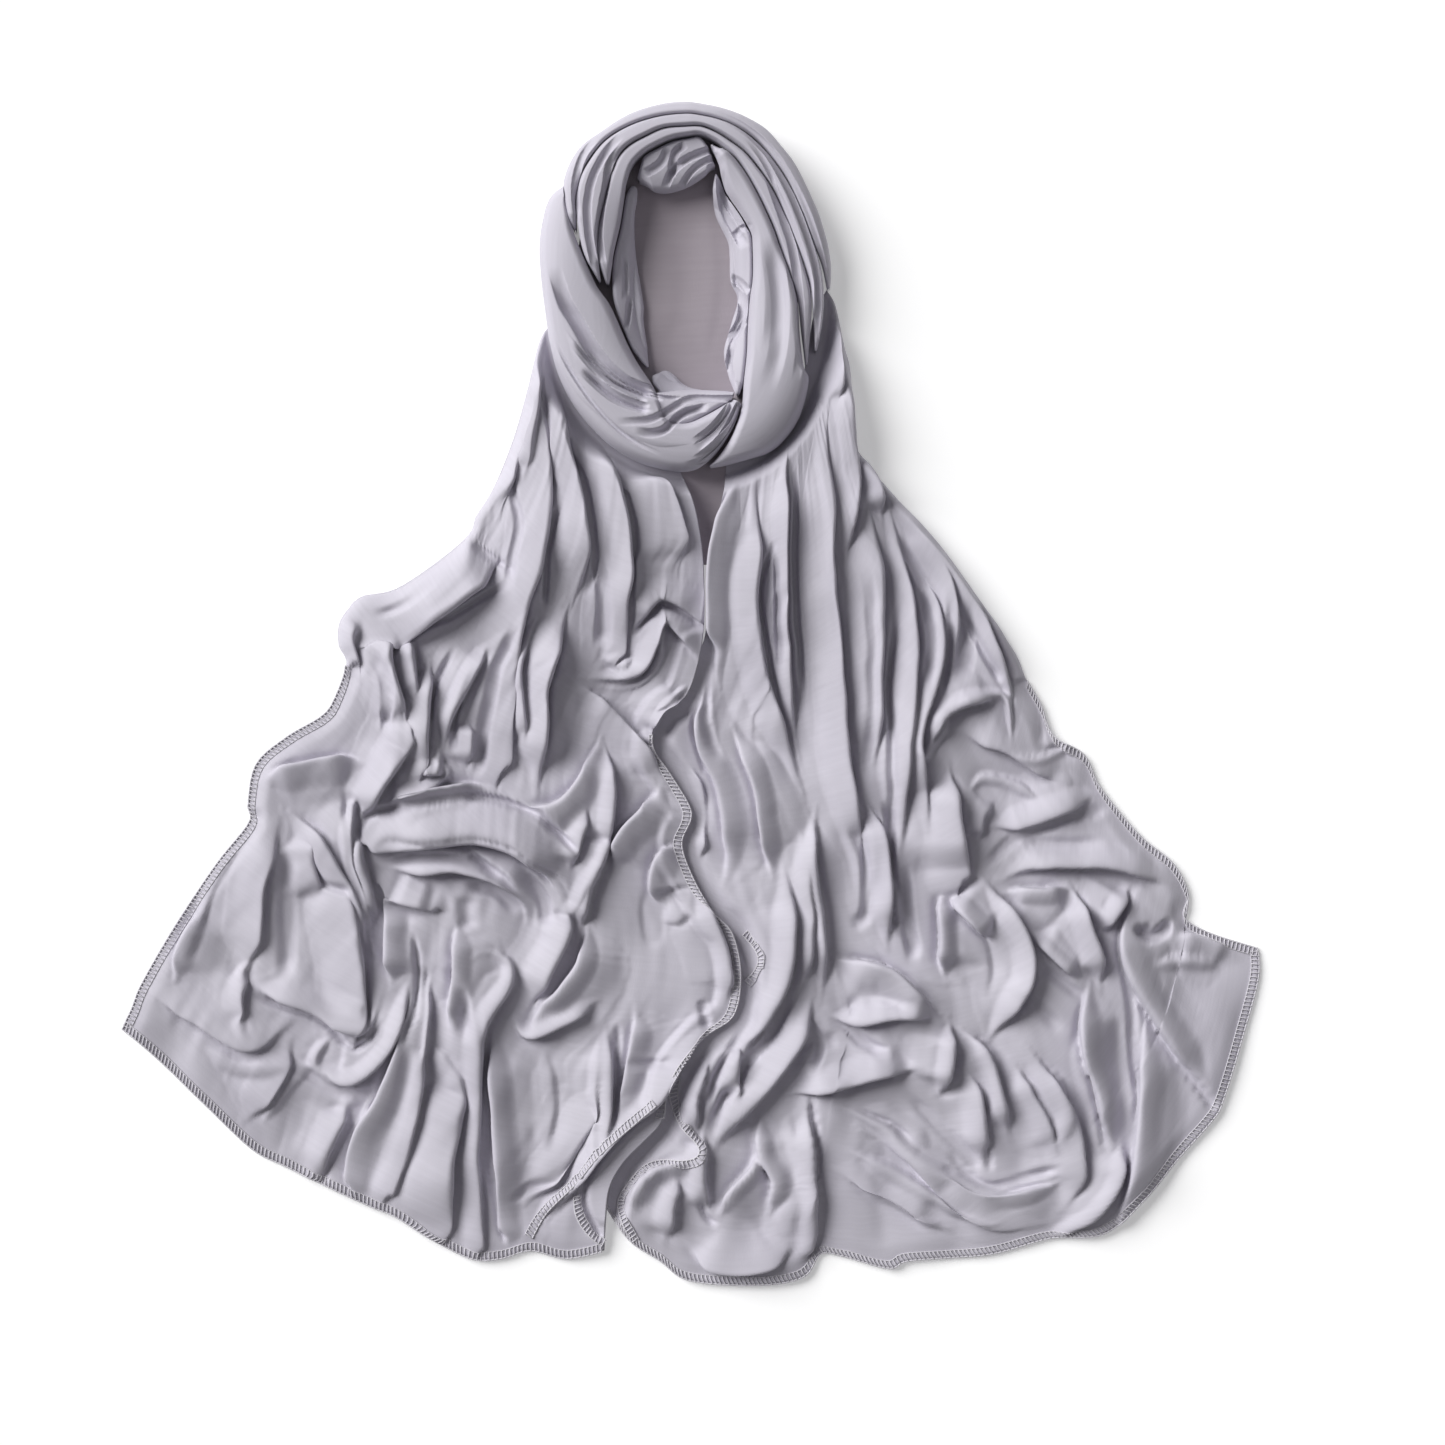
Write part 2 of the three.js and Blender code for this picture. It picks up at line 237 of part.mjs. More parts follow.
const RIGHT_ROLLS = [
  [[73.9, 47.0, 72.7, 52.0, 71.9, 57.0, 71.7, 63.0, 71.9, 69.0], 9, 6, 11, 1, 0.1, 0.2],
  [[75.6, 47.5, 75.0, 54.0, 74.4, 60.0, 75.2, 66.0, 76.7, 71.0, 78.8, 75.6, 80.4, 79.4],
    7, 11, 13, 1, 0.1, 0.1],
  [[78.9, 43.5, 78.3, 50.0, 78.2, 57.0, 78.3, 64.0, 79.0, 71.0, 80.2, 76.0], 4, 4, 14, 1, 0.1, 0.2],
  [[81.7, 39.0, 81.0, 46.0, 80.7, 53.0, 80.8, 60.0, 81.5, 67.0, 82.3, 74.0, 83.4, 80.0, 84.8, 86.0,
    85.1, 91.0], 14, 7, 13, 1, 0.1, 0.2],
  [[86.6, 50.0, 86.9, 57.0, 87.0, 64.0, 87.3, 71.0, 87.6, 78.5], 7, 20, 14, 1, 0.1, 0.2],
  [[84.4, 35.5, 84.9, 42.0, 85.2, 48.0, 84.6, 53.0, 84.6, 58.0], 6, 7, 10, 1, 0.1, 0.3],
  [[82.9, 31.0, 83.4, 36.0, 83.4, 42.0], 6, 6, 8, 1, 0.2, 0.3],
  [[86.0, 45.0, 87.5, 48.5, 88.0, 52.0], 4, 5, 11, 1, 0.1, 0.2],
  [[88.4, 49.6, 89.7, 56.0, 90.6, 62.0, 91.0, 68.0, 90.6, 75.0, 90.0, 81.0, 89.9, 87.5],
    5, 6, 14, 1.2, 0.1, 0.1],
  [[91.2, 55.5, 93.0, 60.0, 93.5, 64.0, 93.2, 68.0, 91.9, 72.5, 91.9, 76.0, 92.6, 80.0, 93.0, 84.0],
    5, 6, 12, 1.2, 0.2, 0.1],
  [[89.4, 50.6, 92.0, 54.0, 94.4, 57.6, 95.3, 62.0, 95.2, 66.8], 5, 4, 12, 1, 0.1, 0.2],
  [[88.2, 49.0, 91.3, 53.0, 94.4, 56.4, 97.2, 60.4, 99.4, 65.0, 100.6, 68.5, 101.0, 71.8],
    4, 4, 13, 1, 0.1, 0.1],
  [[87.6, 47.6, 91.3, 52.0, 95.0, 56.0, 98.3, 60.4, 101.2, 65.2, 102.2, 68.5], 5, 4, 9, 1, 0.1, 0.2],
  [[100.4, 69.7, 96.6, 70.3, 94.4, 71.6, 93.4, 73.8, 92.9, 75.6], 4, 4, 12, 1, 0.05, 0.1],
  [[103.5, 74.3, 106.0, 74.2, 107.6, 76.0], 4, 4, 6, 1, 0.2, 0.3],
  [[98.8, 82.6, 103.0, 81.8, 107.0, 80.4, 110.0, 79.6], 11, 5, 10, 1, 0.2, 0.2],
  [[97.8, 84.0, 98.2, 81.4, 99.8, 79.8], 4, 4, 7, 1, 0.1, 0.3],
  [[96.0, 73.2, 101.0, 74.6, 107.0, 78.6], 8, 10, 6, 1, 0.2, 0.3],
  [[100.4, 88.4, 103.4, 86.6, 107.5, 86.2, 112.5, 86.6, 117.4, 88.4], 7, 5, 12, 1, 0.1, 0.1],
  [[95.3, 76.8, 95.4, 82.0, 95.8, 87.5], 5, 4, 15, 2.6, 0.05, 0],
  [[94.4, 89.0, 94.7, 93.0, 94.6, 98.0], 8, 4, 13, 1, 0.05, 0.1],
  [[95.0, 89.6, 97.2, 91.8, 99.6, 94.3], 9, 3.5, 16, 1, 0.1, 0.2],
  [[98.6, 88.0, 101.0, 91.8, 102.4, 95.0, 102.4, 98.0, 100.5, 101.2, 98.8, 104.2], 5, 10, 14, 1, 0.1, 0.1],
  [[81.6, 80.4, 80.9, 85.0, 81.4, 90.0, 82.0, 95.0, 82.2, 100.0], 3.5, 4, 12, 1, 0.1, 0.1],
  [[86.4, 79.8, 87.8, 84.0, 88.8, 88.5, 88.8, 92.5, 88.6, 95.0], 5, 5, 12, 1, 0.1, 0.1],
  [[83.0, 95.6, 86.0, 96.8, 88.8, 97.8, 91.6, 100.0, 94.6, 102.2], 5, 14, 14, 1, 0.1, 0.1],
  [[83.0, 101.2, 86.0, 102.0, 90.0, 101.4, 94.6, 101.4], 12, 3.5, 12, 1, 0.1, 0.1],
  [[79.0, 109.8, 84.0, 108.5, 88.5, 107.3, 92.4, 106.9], 13, 3.5, 12, 1.3, 0.1, 0.1],
  [[95.2, 102.0, 94.8, 106.0, 94.0, 109.6], 4, 7, 13, 1, 0.1, 0.1],
  [[96.2, 102.6, 98.2, 104.9, 99.4, 107.6, 100.2, 111.0, 101.2, 114.2], 4, 4, 11, 1, 0.1, 0.2],
  [[96.4, 106.5, 97.6, 109.0, 98.3, 113.0, 98.7, 117.0], 3.5, 12, 10, 1, 0.1, 0.05],
  [[109.2, 97.8, 108.5, 101.4, 108.8, 105.5, 110.2, 110.5, 111.7, 115.5], 12, 4, 13, 1, 0.05, 0.1],
  [[107.2, 88.8, 108.3, 92.0, 109.8, 95.4, 110.2, 98.6], 4, 9, 13, 1, 0.1, 0.1],
  [[103.0, 93.4, 106.0, 95.6, 108.6, 97.8], 5, 3.5, 12, 1, 0.1, 0.1],
  [[112.8, 88.8, 111.5, 91.0, 110.2, 93.2], 4, 4, 11, 1, 0.1, 0.2],
  [[100.8, 89.4, 104.5, 89.6, 107.2, 88.9], 3.5, 7, 10, 1, 0.1, 0.1],
  [[113.6, 88.8, 112.6, 92.0, 113.0, 96.0, 115.0, 101.0, 118.6, 106.3, 121.2, 110.0],
    16, 3.5, 13, 0.9, 0.05, 0.1],
  [[117.5, 93.6, 120.5, 94.2, 124.0, 95.6], 4, 12, 6, 1, 0.2, 0.2],
  [[114.6, 101.8, 114.4, 108.0, 114.2, 114.0, 113.5, 119.0, 112.4, 122.6], 14, 3.5, 10, 1, 0.1, 0],
  [[112.4, 113.6, 111.8, 118.0, 109.2, 121.4, 106.4, 123.3], 4, 6, 9, 1, 0.2, 0],
  [[102.8, 104.5, 104.8, 109.0, 107.4, 113.5, 107.9, 117.5, 106.2, 121.6], 8, 7, 9, 1, 0.2, 0.1],
  [[101.4, 106.0, 102.6, 109.4, 104.6, 113.0, 106.2, 116.0], 5, 5, 8, 1, 0.2, 0.2],
  [[92.6, 116.0, 96.4, 119.3, 100.0, 120.4, 103.6, 119.6, 106.6, 117.8], 4, 6, 8, 1, 0.2, 0.1],
  [[86.0, 113.4, 91.0, 115.6, 95.5, 119.6, 100.5, 122.6, 104.5, 122.8], 8, 8, 5, 1, 0.2, 0.2],
  [[83.6, 117.5, 89.0, 119.5, 95.0, 123.2], 8, 8, 4, 1, 0.2, 0.3],
  [[78.5, 86.0, 79.0, 92.0, 78.6, 97.5, 77.0, 101.5, 74.8, 104.6, 73.8, 108.0], 4, 12, 13, 0.9, 0.2, 0.1],
  [[80.0, 83.0, 80.5, 89.0, 80.7, 95.0, 79.6, 99.5], 3.5, 4, 11, 1, 0.2, 0.2],
  [[81.4, 98.8, 80.3, 103.0, 77.8, 107.0, 75.0, 110.2, 72.6, 112.6, 71.0, 115.5], 6, 6, 13, 1, 0.1, 0.1],
  [[70.3, 113.0, 70.0, 118.0, 70.8, 121.8], 4, 5, 10, 1, 0.1, 0.1],
  [[76.2, 114.0, 75.6, 117.0, 73.5, 119.5, 71.6, 122.0], 6, 4, 10, 1, 0.1, 0.1],
  [[75.8, 111.6, 76.0, 115.6, 77.6, 118.5, 76.8, 122.0], 9, 3, 11, 1, 0.1, 0.2],
  [[80.9, 110.6, 80.7, 115.0, 81.0, 120.0, 80.9, 125.0], 3.5, 10, 11, 1, 0.1, 0],
  [[73.9, 104.0, 73.4, 108.0, 73.6, 111.0], 4, 5, 10, 1, 0.2, 0.1],
  [[71.0, 104.6, 69.9, 107.5, 69.1, 110.5, 69.8, 113.8], 4, 4, 9, 1, 0.2, 0.1],
  [[70.2, 115.2, 68.0, 116.6, 65.2, 117.2, 63.4, 119.5, 63.0, 122.0], 7, 3, 7, 1, 0.1, 0.2],
  [[67.8, 117.5, 66.8, 120.5, 66.5, 124.0], 5, 5, 8, 1, 0.2, 0.2],
  [[68.5, 124.5, 72.0, 126.2, 76.5, 126.2, 79.8, 124.2], 9, 10, 7, 1, 0.2, 0.2],
  [[68.4, 76.5, 70.0, 80.0, 70.0, 84.0, 69.6, 87.0], 4, 6, 8, 1, 0.2, 0.2],
  [[70.6, 66.8, 70.3, 71.0, 70.6, 75.0, 72.6, 79.0, 73.4, 85.0, 72.2, 89.0], 9, 5, 9, 1.2, 0.1, 0.3],
  [[73.0, 72.5, 75.6, 77.5, 76.8, 83.0, 77.4, 88.0], 8, 5, 10, 1, 0.2, 0.2],
];
const RIGHT_SWELLS = [
  [[84.6, 82.0, 86.6, 87.0, 86.6, 91.5, 84.6, 92.6], 5, 5, -4, 1, 0.2, 0.2],
  [[114.0, 92.6, 115.6, 93.6, 117.2, 92.4], 5, 5, -5, 1, 0.2, 0.2],
];

// The wound ring. Each stretch lies between two lines, both walked the same way round. full is its height as a
// share of the ring's arch, and steps is the number of sections along it.
const RING_LINE = [
  69.0, 14.8, 72.6, 15.4, 75.5, 17.6, 77.6, 21.5, 78.4, 26.0, 78.6, 31.0, 77.8, 35.5, 75.8, 40.0, 72.8, 42.6,
  69.5, 43.4, 65.6, 42.8, 62.2, 40.4, 59.8, 36.6, 58.6, 32.0, 58.4, 26.5, 59.4, 21.0, 61.8, 17.4, 65.2, 15.3,
  69.0, 14.8,
];
const STRETCHES = {
  ring_outer_crown: {
    full: 1, steps: 30, rounding: 3,
    outer: [
      57.4, 23.4, 56.7, 20.4, 56.7, 18.0, 58.0, 15.2, 60.3, 13.5, 63.0, 11.8, 66.0, 10.8, 68.4, 10.5, 70.5, 10.8,
      72.5, 11.3, 74.5, 12.1, 76.5, 13.3, 78.0, 15.0, 79.5, 17.0, 81.2, 20.5, 82.0, 22.5, 83.0, 26.2, 83.2, 29.0,
    ],
    inner: [
      57.8, 23.2, 57.5, 20.6, 57.9, 18.4, 58.7, 16.5, 60.5, 14.3, 63.0, 12.8, 65.8, 11.9, 68.6, 11.6, 70.4, 11.8,
      72.3, 12.3, 74.1, 13.1, 75.8, 14.3, 77.3, 16.0, 78.8, 18.2, 80.1, 21.0, 80.9, 23.0, 82.1, 26.4, 82.5, 29.0,
    ],
  },
  ring_middle_crown: {
    full: 0.97, steps: 34, rounding: 3,
    outer: [
      59.9, 28.4, 58.6, 25.6, 58.1, 23.2, 57.8, 20.7, 58.2, 18.6, 59.0, 16.8, 60.7, 14.6, 63.1, 13.1, 65.9, 12.2,
      68.6, 11.9, 70.3, 12.1, 72.2, 12.6, 73.9, 13.4, 75.5, 14.6, 77.0, 16.2, 78.5, 18.4, 79.8, 21.1, 80.6, 23.1,
      81.8, 26.6, 82.2, 29.4, 82.2, 32.5, 81.8, 35.2,
    ],
    inner: [
      60.2, 28.4, 59.7, 25.6, 59.8, 22.8, 60.4, 20.2, 61.0, 18.0, 61.8, 16.0, 62.9, 14.8, 64.5, 13.9, 66.4, 13.1,
      68.6, 12.9, 70.2, 12.9, 71.8, 13.5, 73.3, 14.4, 74.7, 15.5, 76.1, 17.2, 77.5, 19.3, 78.7, 21.9, 79.5, 23.9,
      80.6, 27.0, 81.2, 29.4, 81.3, 32.5, 81.3, 35.2,
    ],
  },
  ring_inner_crown: {
    full: 0.9, steps: 34, rounding: 3,
    outer: [
      60.5, 28.6, 60.0, 25.6, 60.1, 22.9, 60.7, 20.3, 61.3, 18.1, 62.1, 16.2, 63.1, 15.1, 64.7, 14.2, 66.5, 13.4,
      68.6, 13.2, 70.1, 13.2, 71.6, 13.8, 73.0, 14.7, 74.4, 15.8, 75.8, 17.5, 77.2, 19.5, 78.4, 22.0, 79.2, 24.0,
      80.3, 27.1, 80.9, 29.4, 81.0, 33.0, 80.8, 36.6,
    ],
    inner: [
      61.1, 28.6, 61.2, 26.0, 61.9, 22.8, 62.3, 20.4, 62.6, 18.5, 63.2, 16.8, 64.3, 15.6, 65.6, 14.8, 67.2, 14.1,
      68.8, 13.8, 70.0, 13.7, 71.3, 14.2, 72.5, 15.0, 73.8, 16.2, 75.0, 18.0, 76.2, 20.2, 77.4, 22.8, 78.1, 24.8,
      79.2, 27.8, 79.9, 30.4, 80.1, 33.4, 80.4, 36.6,
    ],
  },
  ring_right_roll: {
    full: 1, steps: 32, rounding: 6,
    outer: [
      71.2, 14.6, 72.3, 15.3, 73.5, 16.5, 74.7, 18.2, 75.9, 20.4, 77.1, 23.0, 77.8, 24.9, 78.9, 27.9, 79.6, 30.5,
      79.8, 33.5, 80.2, 36.8, 80.7, 38.0, 80.2, 40.6, 79.2, 42.8, 77.4, 44.8, 75.0, 46.0, 72.6, 46.8, 71.2, 46.9,
    ],
    inner: [
      71.0, 15.0, 71.9, 16.4, 72.3, 18.0, 72.9, 19.6, 74.1, 21.4, 75.2, 23.4, 75.4, 25.4, 75.4, 28.0, 75.1, 30.2,
      74.9, 33.0, 74.8, 35.6, 74.5, 38.4, 74.3, 40.8, 73.8, 42.6, 73.0, 44.0, 72.2, 45.0, 71.4, 45.9, 70.8, 46.5,
    ],
  },
  ring_left_wrap: {
    full: 1, steps: 34, rounding: 6,
    outer: [
      56.4, 19.0, 55.0, 20.1, 54.3, 22.6, 54.1, 25.0, 54.3, 28.0, 54.7, 31.2, 55.2, 34.5, 56.0, 37.5, 57.5, 40.5,
      59.5, 43.0, 61.5, 44.8, 64.0, 46.2, 67.0, 47.0, 69.2, 47.0, 70.8, 46.1, 72.2, 44.5, 73.4, 42.4, 74.0, 40.6,
    ],
    inner: [
      56.6, 20.6, 57.0, 22.0, 57.4, 23.7, 58.4, 26.2, 59.6, 28.9, 60.8, 30.6, 61.6, 32.2, 62.6, 34.5, 63.6, 36.4,
      64.4, 37.6, 65.2, 38.8, 65.9, 40.3, 66.4, 41.9, 67.6, 42.6, 69.0, 42.6, 70.6, 41.9, 72.2, 41.0, 73.4, 40.2,
    ],
  },
  ring_throat_fold: {
    full: 0.86, steps: 10, rounding: 4,
    outer: [66.5, 40.8, 66.8, 41.7, 67.8, 42.2, 69.0, 42.2, 70.4, 41.5, 71.8, 40.7, 73.2, 40.0],
    inner: [66.2, 39.8, 67.4, 39.6, 68.8, 39.4, 70.0, 39.4, 71.4, 39.5, 72.4, 39.6, 73.3, 39.7],
  },
  ruffle_left: {
    full: 0.62, steps: 16, rounding: 3,
    outer: [
      63.0, 18.4, 62.6, 20.6, 62.2, 23.0, 61.5, 26.1, 61.4, 28.8, 61.6, 30.4, 62.2, 32.2, 63.1, 34.4, 64.0, 36.0,
      64.6, 36.8,
    ],
    inner: [
      64.0, 19.0, 63.4, 21.0, 63.3, 23.5, 63.5, 26.0, 63.9, 28.5, 64.2, 30.5, 64.2, 32.0, 64.5, 34.2, 64.8, 35.8,
      65.0, 36.6,
    ],
  },
  ruffle_crown: {
    full: 0.7, steps: 12, rounding: 4,
    outer: [63.5, 17.6, 64.5, 16.0, 65.8, 15.2, 67.3, 14.5, 68.8, 14.2, 70.0, 14.1, 71.0, 15.4, 71.5, 16.6],
    inner: [64.2, 18.6, 65.4, 19.1, 66.5, 19.2, 68.0, 18.9, 69.2, 18.4, 70.2, 17.8, 71.0, 17.2, 71.5, 16.9],
  },
  ruffle_right: {
    full: 0.66, steps: 16, rounding: 3,
    outer: [
      71.7, 17.4, 72.0, 18.2, 72.6, 19.8, 73.8, 21.6, 74.9, 23.6, 75.1, 25.4, 75.1, 28.0, 74.8, 30.2, 74.6, 33.0,
      74.5, 35.6, 74.2, 38.4, 74.0, 39.8,
    ],
    inner: [
      71.4, 17.6, 71.4, 19.0, 71.7, 21.4, 72.9, 24.0, 73.1, 25.6, 73.2, 28.0, 73.9, 29.8, 73.3, 32.2, 72.6, 34.6,
      72.6, 36.0, 73.1, 38.0, 73.4, 39.4,
    ],
  },
  ruffle_throat: {
    full: 0.5, steps: 8, rounding: 3,
    outer: [65.0, 37.8, 65.8, 38.8, 66.3, 39.4, 67.6, 39.3, 69.0, 39.1, 70.2, 39.1],
    inner: [65.6, 37.2, 66.6, 37.1, 67.4, 37.6, 68.2, 38.4, 69.2, 38.8, 70.2, 38.9],
  },
};
const RING_SWELLS = [
  [[55.5, 27.0, 56.6, 30.5, 57.8, 32.5, 59.8, 35.8, 62.5, 38.5, 66.0, 39.8], 5, 5, -7, 1, 0.3, 0.1],
  [[57.5, 34.5, 60.5, 37.8, 65.0, 40.2], 4, 4, -5, 1, 0.3, 0.1],
  [[58.3, 37.2, 61.5, 40.0, 65.0, 41.3], 4, 4, -5, 1, 0.3, 0.1],
  [[69.5, 45.2, 72.5, 42.5, 73.5, 40.0], 3, 3, -5, 1, 0.3, 0.2],
  [[77.0, 24.0, 77.6, 30.0, 77.2, 36.0], 8, 8, -3, 1, 0.3, 0.3],
];

// The hood's back layer, seen through the face opening and in the gap under the ring.
const BACK_LEFT = [
  67.0, 13.6, 63.4, 15.0, 60.6, 18.0, 58.8, 22.0, 58.2, 27.0, 58.6, 31.5, 59.6, 35.2, 61.2, 38.6, 63.4, 41.2,
  65.6, 42.8, 67.6, 44.0, 68.1, 46.2, 69.8, 50.0, 70.5, 53.6, 70.7, 56.4,
];
const BACK_RIGHT = [
  69.0, 13.4, 73.0, 14.6, 76.2, 17.4, 78.4, 21.6, 79.2, 26.0, 79.2, 31.0, 78.6, 35.0, 77.4, 38.8, 75.8, 41.4,
  73.8, 43.4, 72.4, 44.4, 72.1, 46.2, 71.8, 49.0, 71.0, 53.2, 70.85, 56.4,
];
const BACK_SWELLS = [
  [[66.0, 22.0, 66.6, 28.0, 66.0, 35.0], 14, 14, 2, 1, 0.3, 0.3],
  [[70.4, 20.0, 71.2, 27.0, 70.4, 36.0], 9, 9, 1.6, 1, 0.3, 0.3],
];

const TAIL_ACROSS = 32; // squares of the mesh across a tail
const TAIL_DOWN = 44; // and from its top to its hem
const FOLDED_OUTLINE = { left: 66.5, right: 68.0 }; // down to here a tail's outer side is a fold, below it a hem

// Points at equal steps along a smooth line.
function evenly(path, steps) {
  const line = lineThrough(path, 8);
  const lengths = [0];
  for (let i = 1; i < line.length; i += 1) lengths.push(lengths[i - 1] + line[i].distanceTo(line[i - 1]));
  const total = lengths[line.length - 1];
  const points = [];
  let at = 0;
  for (let k = 0; k <= steps; k += 1) {
    const want = (total * k) / steps;
    while (at < line.length - 2 && lengths[at + 1] < want) at += 1;
    const share = (want - lengths[at]) / (lengths[at + 1] - lengths[at]);
    points.push(line[at].clone().lerp(line[at + 1], clamp(share, 0, 1)));
  }
  return points;
}

// A net of places inside four outlines, two walked across and two walked down.
function netInside(top, hem, west, east, across, down, rounds = 2) {
  const edges = { n: evenly(top, across), s: evenly(hem, across), w: evenly(west, down), e: evenly(east, down) };
  const net = [];
  for (let j = 0; j <= down; j += 1) {
    const v = j / down;
    const row = [];
    for (let i = 0; i <= across; i += 1) {
      const u = i / across;
      const p = new THREE.Vector2();
      p.addScaledVector(edges.n[i], 1 - v).addScaledVector(edges.s[i], v);
      p.addScaledVector(edges.w[j], 1 - u).addScaledVector(edges.e[j], u);
      p.addScaledVector(edges.n[0], -(1 - u) * (1 - v)).addScaledVector(edges.n[across], -u * (1 - v));
      p.addScaledVector(edges.s[0], -(1 - u) * v).addScaledVector(edges.s[across], -u * v);
      row.push(p);
    }
    net.push(row);
  }
  return relaxed(net, rounds);
}

// Over 0 where the way from a through b to c turns to the left.
function turnAt(a, b, c) {
  return (b.x - a.x) * (c.y - b.y) - (b.y - a.y) * (c.x - b.x);
}

// Spreads the inner places of a net evenly between their neighbours.
function relaxed(net, rounds) {
  for (let round = 0; round < rounds; round += 1) {
    for (let j = 1; j + 1 < net.length; j += 1) {
      for (let i = 1; i + 1 < net[j].length; i += 1) {
        const sum = net[j][i - 1].clone().add(net[j][i + 1]).add(net[j - 1][i]).add(net[j + 1][i]);
        net[j][i].copy(sum.divideScalar(4));
      }
    }
  }
  return net;
}

// The least turn between the four neighbours of a place in a net, as seen from it: under 0 the net has folded over.
function leastTurn(net, i, j, p) {
  const round = [net[j][i + 1], net[j + 1][i + 1], net[j + 1][i], net[j + 1][i - 1]];
  round.push(net[j][i - 1], net[j - 1][i - 1], net[j - 1][i], net[j - 1][i + 1]);
  const arms = round.map((q) => q.clone().sub(p));
  const turns = arms.map((arm, k) => arm.cross(arms[(k + 1) % arms.length]));
  const way = Math.sign(turns.reduce((sum, turn) => sum + turn, 0));
  return Math.min(...turns.map((turn) => turn * way));
}

// Moves the inner places of a net onto the crests that pass close by, so that the mesh follows the folds.
function drawToCrests(net, rolls) {
  const near = 0.4; // of a square of the net, at most
  const leastLeft = 8; // square millimetres that each corner of the net keeps
  for (let j = 1; j + 1 < net.length; j += 1) {
    for (let i = 1; i + 1 < net[j].length; i += 1) {
      const p = net[j][i];
      let best = near * Math.min(p.distanceTo(net[j][i - 1]), p.distanceTo(net[j][i + 1]));
      let goal = null;
      for (const roll of rolls) {
        if (!roll.box.containsPoint(p)) continue;
        for (const crest of roll.line) {
          const off = crest.distanceTo(p);
          if (off < best && leastTurn(net, i, j, crest) > leastLeft) [best, goal] = [off, crest];
        }
      }
      if (goal) p.copy(goal);
    }
  }
  return net;
}

// A closed wall over a net: the top follows height, and the underside lies CLOTH below it, square to the slope,
// but never under floorAt.
function wallOver(net, height, floorAt) {
  const down = net.length - 1;
  const across = net[0].length - 1;
  const high = net.map((row) => row.map((p) => height(p.x, p.y)));
  const points = [];
  const under = [];
  for (let j = 0; j <= down; j += 1) {
    for (let i = 0; i <= across; i += 1) {
      const p = net[j][i];
      const step = 2;
      const slopeX = (height(p.x + step, p.y) - height(p.x - step, p.y)) / (2 * step);
      const slopeY = (height(p.x, p.y + step) - height(p.x, p.y - step)) / (2 * step);
      const deep = CLOTH * clamp(Math.hypot(1, slopeX, slopeY), 1, STEEPEST);
      points.push(p.x, p.y, high[j][i]);
      under.push(p.x, p.y, Math.max(floorAt(p.x, p.y), high[j][i] - deep));
    }
  }
  const count = points.length / 3;
  const faces = [];
  const id = (i, j) => j * (across + 1) + i;
  for (let j = 0; j < down; j += 1) {
    for (let i = 0; i < across; i += 1) {
      const [a, b, c, d] = [id(i, j), id(i + 1, j), id(i + 1, j + 1), id(i, j + 1)];
      const places = [net[j][i], net[j][i + 1], net[j + 1][i + 1], net[j + 1][i]];
      const level = Math.abs(high[j][i] - high[j + 1][i + 1]) <= Math.abs(high[j][i + 1] - high[j + 1][i]);
      const dented = (k) => turnAt(places[(k + 3) % 4], places[k], places[(k + 1) % 4]) > 0;
      const split = dented(0) || dented(2) || (level && !dented(1) && !dented(3));
      const pairs = split ? [[a, c, b], [a, d, c]] : [[a, d, b], [b, d, c]];
      for (const [p, q, r] of pairs) faces.push(p, q, r, p + count, r + count, q + count);
    }
  }
  const rim = [];
  for (let i = 0; i < across; i += 1) rim.push(id(i, 0));
  for (let j = 0; j < down; j += 1) rim.push(id(across, j));
  for (let i = across; i > 0; i -= 1) rim.push(id(i, down));
  for (let j = down; j > 0; j -= 1) rim.push(id(0, j));
  rim.forEach((a, k) => {
    const b = rim[(k + 1) % rim.length];
    faces.push(a, b, b + count, a, b + count, a + count);
  });
  return closedGeometry([...points, ...under], faces);
}

// Faces are turned to look outwards, whichever way the net was walked.
function closedGeometry(places, faces) {
  let volume = 0;
  const at = (i) => new THREE.Vector3(places[3 * i], places[3 * i + 1], places[3 * i + 2]);
  for (let i = 0; i < faces.length; i += 3) {
    volume += at(faces[i]).dot(at(faces[i + 1]).cross(at(faces[i + 2])));
  }
  if (volume < 0) for (let i = 0; i < faces.length; i += 3) [faces[i], faces[i + 1]] = [faces[i + 1], faces[i]];
  const geometry = new THREE.BufferGeometry();
  geometry.setAttribute("position", new THREE.Float32BufferAttribute(places, 3));
  geometry.setIndex(faces);
  geometry.computeVertexNormals();
  return geometry;
}

// The height of the ring's arch above what it lies on. It ends upright, a little short of its foot.
const ARCH_END = 0.97;
const ringLine = lineThrough(RING_LINE);
function arch(x, y) {
  const share = Math.min(beside(ringLine, x, y).off / RING_HALF, ARCH_END);
  return RING_HIGH * Math.sqrt(1 - share * share);
}

